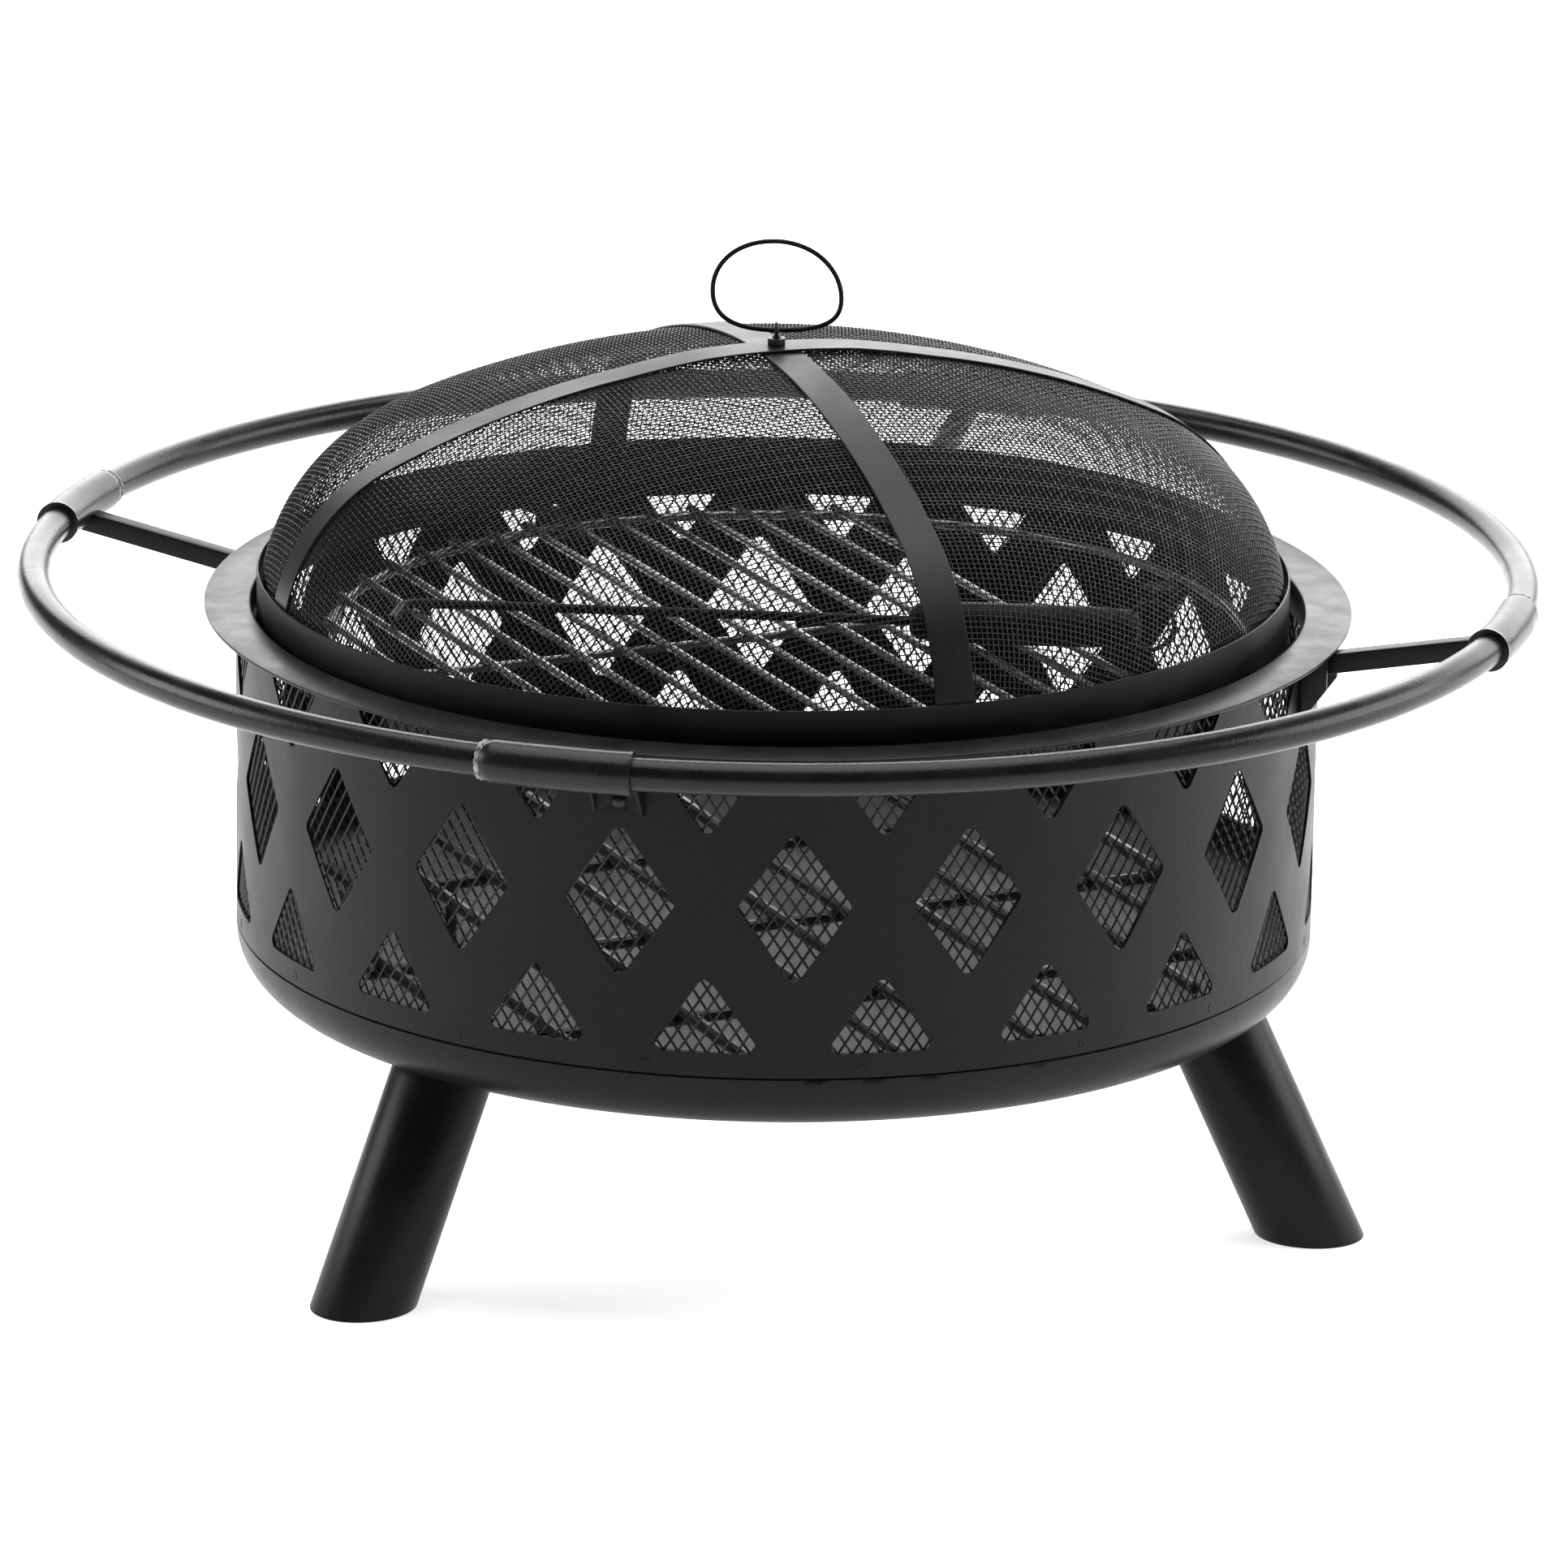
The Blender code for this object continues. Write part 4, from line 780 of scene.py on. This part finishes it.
def slide_to(point, along, meets):
    """Moves a point along the tube until meets(point) is zero."""
    low, high = -0.2, 0.2
    for i in range(40):
        half = (low + high) / 2
        if meets(point + along * half) > 0:
            high = half
        else:
            low = half
    return point + along * low


def above_bowl(point):
    """How far a point lies above the place that is 0.3 mm under the bowl."""
    return point.z - bowl_skin(Vector((point.x, point.y)).length) + 0.3 * MM


def leg_tube(name, turn):
    place = outward(turn)
    along = (place.to_3x3() @ Vector((-SPLAY, 0.0, 1.0))).normalized()
    foot = place @ Vector((FOOT_RADIUS, 0.0, 0.0))
    tilt = along.to_track_quat("Z", "Y").to_matrix().to_4x4()
    clear_selection()
    bpy.ops.mesh.primitive_cylinder_add(vertices=96, radius=LEG_TUBE, depth=0.14, end_fill_type="NOTHING")
    leg = bpy.context.view_layer.objects.active
    leg.name = name
    leg.matrix_world = Matrix.Translation(foot + along * 0.07) @ tilt
    bpy.ops.object.transform_apply(location=True, rotation=True, scale=True)
    for vert in leg.data.vertices:
        if (vert.co - foot).dot(along) > 0.07:
            vert.co = slide_to(vert.co, along, above_bowl)
        else:
            vert.co = slide_to(vert.co, along, lambda p: p.z)
    wall = leg.modifiers.new("wall", "SOLIDIFY")
    wall.thickness = 2 * MM
    wall.offset = -1.0
    bpy.ops.object.modifier_apply(modifier=wall.name)
    return leg


LEG_TURNS = (-45.0, 75.0, 195.0)
for k, turn in enumerate(LEG_TURNS):
    leg = soften(leg_tube(f"leg_tube_{k + 1}", turn), 0.35 * MM, 2, 50.0)
    fit(leg, "base", leg_paint, [f"leg_{k + 1}"])
    for node in (f"leg_plate_{k + 1}", f"leg_bolt_{k + 1}"):
        piece = soften(copy_of_frame(node.replace("leg", "inner_leg"), node), 0.4 * MM)
        fit(piece, "base", bolt_black, [node])

# %% [markdown]
# ## Spark screen: the woven dome
#
# Plain-weave wire cloth is pressed over a domed former. Two families of wires cross over and under each
# other about 3.5 mm apart. A flat sheet that is pressed keeps its length along the slope, so each
# crossing is placed by walking its distance over the dome, not by dropping a flat grid onto it. The
# wires run nearly along the two straps, because the same corners of the cloth are clamped under them.
# Each wire is a thin four-sided tube, because there are hundreds of them, and each family is two pieces
# so that none is too heavy.

# %% The dome's shape
screen_low, screen_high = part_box("screen_mesh")
SCREEN_AXIS = Vector(((screen_low.x + screen_high.x) / 2, 0.0, 0.0))
DOME_RADIUS = 307.2 * MM
DOME_KNUCKLE = 115 * MM
DOME_CROWN = 580 * MM
BAND_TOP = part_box("screen_band")[1].z
START = radians(78.0)
knuckle_middle = Vector((DOME_RADIUS - DOME_KNUCKLE * sin(START), BAND_TOP - DOME_KNUCKLE * cos(START)))
LEAN = asin(knuckle_middle.x / (DOME_CROWN - DOME_KNUCKLE))
crown_middle = knuckle_middle.y - (DOME_CROWN - DOME_KNUCKLE) * cos(LEAN)
CROWN_WALK = DOME_CROWN * LEAN
KNUCKLE_WALK = DOME_KNUCKLE * (START - LEAN)


def on_dome(walk):
    """(radius, height) and outward direction after walking that far down the slope from the top."""
    if walk < CROWN_WALK:
        angle = walk / DOME_CROWN
        out = Vector((sin(angle), cos(angle)))
        return Vector((0.0, crown_middle)) + out * DOME_CROWN, out
    if walk < CROWN_WALK + KNUCKLE_WALK:
        angle = LEAN + (walk - CROWN_WALK) / DOME_KNUCKLE
        out = Vector((sin(angle), cos(angle)))
        return knuckle_middle + out * DOME_KNUCKLE, out
    down = walk - CROWN_WALK - KNUCKLE_WALK
    return Vector((DOME_RADIUS, BAND_TOP - down)), Vector((1.0, 0.0))


MESH_EDGE = CROWN_WALK + KNUCKLE_WALK + 10 * MM
print("walk from the top to the mesh's edge, in mm:", round(MESH_EDGE / MM, 1))

# %% Weave the wires
PITCH = 3.52 * MM
STRAP_TURN = 20.0
WEAVE_TURN = radians(18.0)
WEAVE_EAST = Vector((cos(WEAVE_TURN), sin(WEAVE_TURN), 0.0))
WEAVE_NORTH = Vector((-WEAVE_EAST.y, WEAVE_EAST.x, 0.0))
MESH_WIRE = 0.42 * MM
CRIMP = 0.34 * MM


def dome_point(east, north, lift):
    """Point of the flat sheet carried onto the dome and raised by the lift."""
    walk = sqrt(east * east + north * north)
    spot, out = on_dome(walk)
    spot = spot + out * lift
    if walk < 1e-9:
        return SCREEN_AXIS + Vector((0.0, 0.0, spot.y))
    flat = (WEAVE_EAST * east + WEAVE_NORTH * north) * (spot.x / walk)
    return SCREEN_AXIS + flat + Vector((0.0, 0.0, spot.y))


def wire_route(row, across):
    """One wire of a family; across is True for the wires that run left to right."""
    fixed = row * PITCH
    reach = sqrt(MESH_EDGE**2 - fixed**2)
    last = int(reach / PITCH)
    route = []
    for step in range(-last, last + 1):
        over = 1 if (row + step) % 2 == (1 if across else 0) else -1
        east, north = (step * PITCH, fixed) if across else (fixed, step * PITCH)
        route.append(dome_point(east, north, over * CRIMP - MESH_WIRE - 0.3 * MM))
    return route


ROWS = int(MESH_EDGE / PITCH) - 2
families = (
    ("screen_wires_back", True, range(1, ROWS + 1)),
    ("screen_wires_front", True, range(-ROWS, 1)),
    ("screen_wires_right", False, range(1, ROWS + 1)),
    ("screen_wires_left", False, range(-ROWS, 1)),
)
for name, across, rows in families:
    wires = wire_piece(name, [wire_route(row, across) for row in rows], MESH_WIRE, 0)
    stands_for = ["screen_mesh"] if name.endswith("back") else []
    fit(wires, "screen", mesh_paint, stands_for, smooth=100.0)

# %% [markdown]
# ## Screen band and straps
#
# A rolled strip hides the cut edge of the wire cloth and stands on the stepped rests. Two flat straps
# cross over the dome and tuck into the band, each held by a spot weld. The band is spun from a section
# with small chamfers at its corners. A strap is a section carried along the same dome curve as the wires,
# so it lies on them everywhere.

# %% Band
band_low, band_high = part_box("screen_band")
BAND_RADIUS = (band_high.x - band_low.x) / 2
BAND_SHEET = 1.3 * MM
band_outline = [
    (BAND_RADIUS - 0.35 * MM, BAND_TOP),
    (BAND_RADIUS, BAND_TOP - 0.4 * MM),
    (BAND_RADIUS, band_low.z + 0.3 * MM),
    (BAND_RADIUS - 0.3 * MM, band_low.z),
    (BAND_RADIUS - BAND_SHEET, band_low.z),
    (BAND_RADIUS - BAND_SHEET, BAND_TOP - 0.4 * MM),
    (BAND_RADIUS - BAND_SHEET + 0.35 * MM, BAND_TOP),
]
band = spun_piece("rolled_band", band_outline, 240, SCREEN_AXIS)
fit(band, "screen", band_paint, ["screen_band"])

# %% Straps
STRAP_WIDTH = 24 * MM
STRAP_SHEET = 1.4 * MM
STRAP_END = CROWN_WALK + KNUCKLE_WALK + 10.5 * MM


def strap_piece(name, turn, crossing_lift):
    """Flat strap over the dome, from inside the band on one side to inside it on the other."""
    steps = 120
    corner = 0.35 * MM
    half = STRAP_WIDTH / 2
    section = [
        (-half, corner), (-half, STRAP_SHEET - corner), (-half + corner, STRAP_SHEET),
        (half - corner, STRAP_SHEET), (half, STRAP_SHEET - corner), (half, corner),
        (half - corner, 0.0), (-half + corner, 0.0),
    ]
    place = Matrix.Translation(SCREEN_AXIS) @ outward(turn)
    bm = bmesh.new()
    rings = []
    for i in range(steps + 1):
        walk = -STRAP_END + 2 * STRAP_END * i / steps
        spot, out = on_dome(abs(walk))
        raised = crossing_lift * min(1.0, max(0.0, (95 * MM - spot.x) / (50 * MM)))
        way = 1.0 if walk >= 0 else -1.0
        ring = []
        for side, high in section:
            there = spot + out * (0.3 * MM + raised + high)
            ring.append(bm.verts.new(place @ Vector((there.x * way, side, there.y))))
        rings.append(ring)
    for near, far in zip(rings, rings[1:]):
        for j in range(len(section)):
            j2 = (j + 1) % len(section)
            bm.faces.new((near[j], near[j2], far[j2], far[j]))
    bm.faces.new(rings[0])
    bm.faces.new(rings[-1])
    bmesh.ops.recalc_face_normals(bm, faces=bm.faces)
    mesh = bpy.data.meshes.new(name)
    bm.to_mesh(mesh)
    bm.free()
    piece = bpy.data.objects.new(name, mesh)
    bpy.context.scene.collection.objects.link(piece)
    return piece


strap_low = strap_piece("lower_strap", STRAP_TURN, 0.0)
fit(strap_low, "screen", strap_paint, ["screen_strap_1"])
strap_high = strap_piece("upper_strap", STRAP_TURN - 91.0, STRAP_SHEET + 0.6 * MM)
fit(strap_high, "screen", strap_paint, ["screen_strap_2"])

# %% [markdown]
# ## Lifting handle
#
# A loop of 3 mm wire, bent by hand into a rounded D, is threaded through an eyebolt that clamps the
# straps and the mesh between a nut and a washer. The wire follows a closed smooth curve through four
# anchor points.

# %% Handle loop
ring_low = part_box("handle_ring")[0]
HANDLE_WIRE = 1.5 * MM
LOOP_BOTTOM = ring_low.z + HANDLE_WIRE
LOOP_TALL = 54.5 * MM
LOOP_WIDTH = 38.5 * MM
loop_curve = bpy.data.curves.new("handle_loop", "CURVE")
loop_curve.dimensions = "3D"
loop_curve.resolution_u = 24
loop_curve.bevel_depth = HANDLE_WIRE
loop_curve.bevel_resolution = 4
bend = loop_curve.splines.new("BEZIER")
bend.bezier_points.add(3)
bend.use_cyclic_u = True
anchors = [
    ((0.0, 0.0), (-0.75, 0.0), (0.75, 0.0)),
    ((1.0, 0.36), (0.0, -0.26), (0.0, 0.33)),
    ((-0.05, 1.0), (0.62, 0.0), (-0.58, 0.0)),
    ((-1.0, 0.45), (0.0, 0.30), (0.0, -0.28)),
]
for point, (spot, before, after) in zip(bend.bezier_points, anchors):
    base = Vector((SCREEN_AXIS.x + spot[0] * LOOP_WIDTH, 0.0, LOOP_BOTTOM + spot[1] * LOOP_TALL))
    point.co = base
    point.handle_left = base + Vector((before[0] * LOOP_WIDTH, 0.0, before[1] * LOOP_TALL))
    point.handle_right = base + Vector((after[0] * LOOP_WIDTH, 0.0, after[1] * LOOP_TALL))
loop_piece = bpy.data.objects.new("handle_loop", loop_curve)
bpy.context.scene.collection.objects.link(loop_piece)
pick(loop_piece)
bpy.ops.object.convert(target="MESH")
loop_piece = bpy.context.view_layer.objects.active
fit(loop_piece, "screen", wire_paint, ["handle_ring"], smooth=60.0)

# %% Eyebolt, nut, washer and locknut
eye_low, eye_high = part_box("handle_eyebolt")
EYE_MIDDLE = Vector((SCREEN_AXIS.x, 0.0, eye_high.z - 4.7 * MM))
eye_route = []
for i in range(40):
    angle = 2 * pi * i / 40
    eye_route.append(EYE_MIDDLE + Vector((0.0, 3.4 * MM * sin(angle), 3.4 * MM * cos(angle))))
eye = wire_piece("eyebolt_eye", [eye_route], 1.3 * MM, 3, True)
fit(eye, "screen", bolt_black, smooth=60.0)
stem_outline = [(0.0, EYE_MIDDLE.z - 3.2 * MM), (2.2 * MM, EYE_MIDDLE.z - 3.2 * MM)]
turns = 24
for i in range(turns):
    height = EYE_MIDDLE.z - 4.4 * MM - (EYE_MIDDLE.z - 4.4 * MM - eye_low.z) * i / turns
    stem_outline.append(((2.5 if i % 2 else 2.2) * MM, height))
stem_outline.append((0.0, eye_low.z))
stem = spun_piece("eyebolt_thread", stem_outline, 24, SCREEN_AXIS, closed=False)
fit(stem, "screen", bolt_black, ["handle_eyebolt"], smooth=20.0)
for node in ("handle_nut", "handle_washer", "handle_locknut"):
    fastener = soften(copy_of_frame(node.replace("handle", "screen"), node), 0.45 * MM, 2, 40.0)
    fit(fastener, "screen", bolt_black, [node])

# %% [markdown]
# ## Grates
#
# The cooking grate is 5 mm rod welded on top of a 6 mm hoop, with one cross bar below and one side left
# open for wood. The log grate below is 8 mm rod on three cross bars with four short feet. Both are wires
# with a round section. A small blob of weld sits where each rod crosses the hoop.

# %% Cooking grate
GRATE_AXIS = Vector((7 * MM, 0.0, 0.0))
GRATE_RADIUS = 277 * MM
GRATE_LEVEL = 347.3 * MM
ROD_LEVEL = 351.5 * MM
GRATE_PITCH = 28.2 * MM
ROD_ANGLE = radians(-65.5)
rod_way = Vector((cos(ROD_ANGLE), sin(ROD_ANGLE), 0.0))
rod_side = Vector((-rod_way.y, rod_way.x, 0.0))


def rod_routes(offsets, reach, overhang, height, axis):
    """Straight rods side by side, each as long as the circle allows."""
    routes = []
    for offset in offsets:
        half = sqrt(reach * reach - offset * offset) + overhang
        middle = axis + rod_side * offset + Vector((0.0, 0.0, height))
        routes.append([middle + rod_way * half * (-1 + 0.25 * i) for i in range(9)])
    return routes


grate_offsets = [GRATE_PITCH * k for k in range(-9, 6)]
grate_rods = rod_routes(grate_offsets, GRATE_RADIUS, 6 * MM, ROD_LEVEL, GRATE_AXIS)
bar_start = GRATE_AXIS - rod_side * (GRATE_RADIUS - 0.5 * MM) + Vector((0.0, 0.0, GRATE_LEVEL))
bar_end = GRATE_AXIS + rod_side * (GRATE_PITCH * 5 + 6 * MM) + Vector((0.0, 0.0, GRATE_LEVEL))
rods = wire_piece("cooking_grate_rods", grate_rods + [[bar_start, bar_end]], 2.5 * MM, 3)
fit(rods, "cooking_grate", grate_paint, ["cooking_grate"])
hoop_piece = hoop("cooking_grate_hoop", GRATE_RADIUS, GRATE_LEVEL, 3 * MM, 180, 16, GRATE_AXIS)
fit(hoop_piece, "cooking_grate", grate_paint)

# %% Weld blobs where the rods cross the hoop
BLOB_LEVEL = 349.6 * MM
BLOB = (3.4 * MM, 3.0 * MM, 2.0 * MM, 1.0)
clear_selection()
bpy.ops.mesh.primitive_ico_sphere_add(subdivisions=2, radius=1.0)
blob = bpy.context.view_layer.objects.active
blob_mesh = bmesh.new()
for number, offset in enumerate(grate_offsets):
    for end in (-1, 1):
        half = sqrt(GRATE_RADIUS**2 - offset**2) * end
        spot = GRATE_AXIS + rod_side * offset + rod_way * half + Vector((0.0, 0.0, BLOB_LEVEL))
        size = Matrix.Diagonal(BLOB)
        turned = Matrix.Translation(spot) @ Matrix.Rotation(0.7 * number + end, 4, "Z") @ size
        start = len(blob_mesh.verts)
        blob_mesh.from_mesh(blob.data)
        blob_mesh.verts.ensure_lookup_table()
        bmesh.ops.transform(blob_mesh, matrix=turned, verts=blob_mesh.verts[start:])
blob_mesh.to_mesh(blob.data)
blob_mesh.free()
blob.name = "cooking_grate_welds"
fit(blob, "cooking_grate", grate_paint, smooth=60.0)

# %% Log grate
LOG_RADIUS = 286 * MM
LOG_LEVEL = 170 * MM
LOG_PITCH = 43 * MM
BAR_LEVEL = LOG_LEVEL - 6.2 * MM
log_offsets = [LOG_PITCH * k for k in range(-6, 7)]
log_routes = rod_routes(log_offsets, LOG_RADIUS, 0.0, LOG_LEVEL, Vector((0.0, 0.0, 0.0)))
for along in (-150 * MM, 0.0, 150 * MM):
    half = LOG_PITCH * (6 if along == 0.0 else 5) + 8 * MM
    middle = rod_way * along + Vector((0.0, 0.0, BAR_LEVEL))
    log_routes.append([middle - rod_side * half, middle + rod_side * half])
log_rods = wire_piece("log_grate_rods", log_routes, 4 * MM, 3)
fit(log_rods, "log_grate", log_paint, ["log_grate"])
feet = []
foot_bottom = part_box("log_grate")[0].z + 0.2 * MM
for along in (-150 * MM, 150 * MM):
    for across in (-150.5 * MM, 150.5 * MM):
        spot = rod_way * along + rod_side * across
        feet.append([spot + Vector((0.0, 0.0, foot_bottom)), spot + Vector((0.0, 0.0, BAR_LEVEL))])
log_feet = wire_piece("log_grate_feet", feet, 3.6 * MM, 3)
fit(log_feet, "log_grate", log_paint)

# %% [markdown]
# ## Poker
#
# The poker lies across the cooking grate: a 6 mm rod, a fat barrelled grip and a hanging loop of wire.
# Its grip is moulded, so its outline swells gently and has a shallow groove near each end.

# %% Poker
GRIP_RADIUS = 12.5 * MM
GRIP_LENGTH = 138 * MM
ROD_RADIUS = 3 * MM
RESTS_AT = 354.5 * MM
grip_start = Vector((80 * MM, -37 * MM, RESTS_AT + GRIP_RADIUS))
poker_tip = Vector((-226 * MM, 22 * MM, RESTS_AT + ROD_RADIUS))
poker_axis = (grip_start - poker_tip).normalized()
poker_turn = poker_axis.to_track_quat("X", "Z").to_matrix().to_4x4()
poker_frame = Matrix.Translation(grip_start) @ poker_turn
poker_length = (grip_start - poker_tip).length
grip_outline = [(0.0, GRIP_LENGTH), (6.5 * MM, GRIP_LENGTH)]
for i in range(41):
    share = 1 - i / 40
    swell = GRIP_RADIUS - 2.0 * MM * (2 * share - 1) ** 4
    groove = 0.7 * MM * max(0.0, 1 - abs(abs(share - 0.5) - 0.41) / 0.015)
    end = 3.0 * MM * max(0.0, 1 - min(share, 1 - share) / 0.02) ** 2
    grip_outline.append((swell - groove - end, GRIP_LENGTH * share))
grip_outline += [(3.3 * MM, 0.0), (3.3 * MM, 20 * MM), (0.0, 20 * MM)]
grip = spun_piece("poker_handle", grip_outline, 48, closed=False)
grip.matrix_world = poker_frame @ Matrix.Rotation(pi / 2, 4, "Y")
fit(grip, "poker", grip_black, ["poker_grip"])

HOOK = 12 * MM
tip = Vector((-poker_length + 1 * MM, -40 * MM, 0.0))
shaft = [Vector((19 * MM, 0.0, 0.0)), Vector((-poker_length / 2, 0.0, 0.0))]
bend_points = []
for i in range(13):
    angle = pi / 2 * i / 12
    bend_points.append(Vector((-poker_length + HOOK - HOOK * sin(angle), -HOOK + HOOK * cos(angle), 0.0)))
rod_route = [poker_frame @ point for point in shaft + bend_points + [tip]]
poker_rod = wire_piece("poker_shaft", [rod_route], ROD_RADIUS, 4)
fit(poker_rod, "poker", poker_paint, ["poker_rod"], smooth=50.0)

LOOP_RADIUS = 14.5 * MM
loop_spot = poker_frame @ Vector((GRIP_LENGTH - 7 * MM, 0.0, 0.0))
loop_turn = poker_turn @ Matrix.Rotation(radians(24), 4, "Z") @ Matrix.Rotation(pi / 2, 4, "X")
loop_middle = loop_spot + (loop_turn @ Vector((LOOP_RADIUS, 0.0, 0.0)))
loop_route = []
for i in range(48):
    angle = 2 * pi * i / 48
    on_loop = Vector((LOOP_RADIUS * cos(angle), LOOP_RADIUS * sin(angle), 0.0))
    loop_route.append(loop_middle + loop_turn @ on_loop)
poker_loop = wire_piece("poker_hanging_loop", [loop_route], 1.5 * MM, 3, True)
fit(poker_loop, "poker", poker_paint, ["poker_loop"], smooth=60.0)

# %% [markdown]
# ## Studio
#
# A pale floor, a large soft light behind and above for the bright reflections along the rim and the
# rail, and gentle lights at the sides. The sky is bright behind the pit and dim in front of it, as in a
# white studio with the camera standing in the dark part.

# %% Camera
camera_data = bpy.data.cameras.new("camera")
camera_data.lens = 220.39  # millimetres on a 36 mm sensor
camera_data.sensor_width = 36.0
camera_data.shift_y = -0.0073
camera_data.clip_end = 100.0
camera = bpy.data.objects.new("camera", camera_data)
camera.rotation_mode = "XYZ"
camera.matrix_world = (
    Matrix.Translation((0.0, -5.578, 1.922))
    @ Matrix.Rotation(-0.0009, 4, "Z")
    @ Matrix.Rotation(pi / 2 - 0.2896, 4, "X")
    @ Matrix.Rotation(0.0136, 4, "Z")
)
bpy.context.scene.collection.objects.link(camera)
bpy.context.scene.camera = camera

# %% Floor
clear_selection()
bpy.ops.mesh.primitive_plane_add(size=60.0, location=(0.0, 0.0, -0.5 * MM))
floor = bpy.context.view_layer.objects.active
floor.name = "studio_floor"
floor_white = bpy.data.materials.new("white_light_table")
floor_white.use_nodes = True
floor_shader = floor_white.node_tree.nodes["Principled BSDF"]
floor_shader.inputs["Base Color"].default_value = linear("#f4f4f4")
floor_shader.inputs["Roughness"].default_value = 0.9
floor_shader.inputs["Specular IOR Level"].default_value = 0.1
floor_shader.inputs["Emission Color"].default_value = (1.0, 1.0, 1.0, 1.0)
floor_shader.inputs["Emission Strength"].default_value = 0.72
floor.data.materials.append(floor_white)


# %% Lights and sky
def soft_light(name, place, target, width, height, power):
    """Rectangular soft light aimed at a point."""
    data = bpy.data.lights.new(name, "AREA")
    data.shape = "RECTANGLE"
    data.size = width
    data.size_y = height
    data.energy = power
    light = bpy.data.objects.new(name, data)
    light.location = place
    light.rotation_euler = (Vector(target) - Vector(place)).to_track_quat("-Z", "Y").to_euler()
    bpy.context.scene.collection.objects.link(light)
    return light


MIDDLE = (0.0, 0.0, 0.25)
soft_light("back_light", (0.9, 3.6, 1.7), MIDDLE, 7.0, 2.4, 265.0)
soft_light("left_light", (-3.4, 0.2, 1.3), MIDDLE, 2.0, 1.6, 70.0)
soft_light("right_light", (3.4, 0.2, 1.3), MIDDLE, 2.4, 2.0, 100.0)
soft_light("top_light", (0.0, 0.4, 4.0), MIDDLE, 4.0, 4.0, 190.0)

sky = bpy.data.worlds.new("studio_sky")
bpy.context.scene.world = sky
sky.use_nodes = True
sky_tree = sky.node_tree
ambient = sky_tree.nodes["Background"]
direction = add_node(sky_tree, "ShaderNodeTexCoord").outputs["Generated"]
parts = add_node(sky_tree, "ShaderNodeSeparateXYZ", {"Vector": direction})
depth = add_node(
    sky_tree,
    "ShaderNodeMapRange",
    {"Value": parts.outputs["Y"], "From Min": -0.5, "From Max": 0.6, "To Min": 0.10, "To Max": 1.0},
)
sky_tree.links.new(depth.outputs["Result"], ambient.inputs["Strength"])
bpy.context.scene.view_settings.view_transform = "Standard"
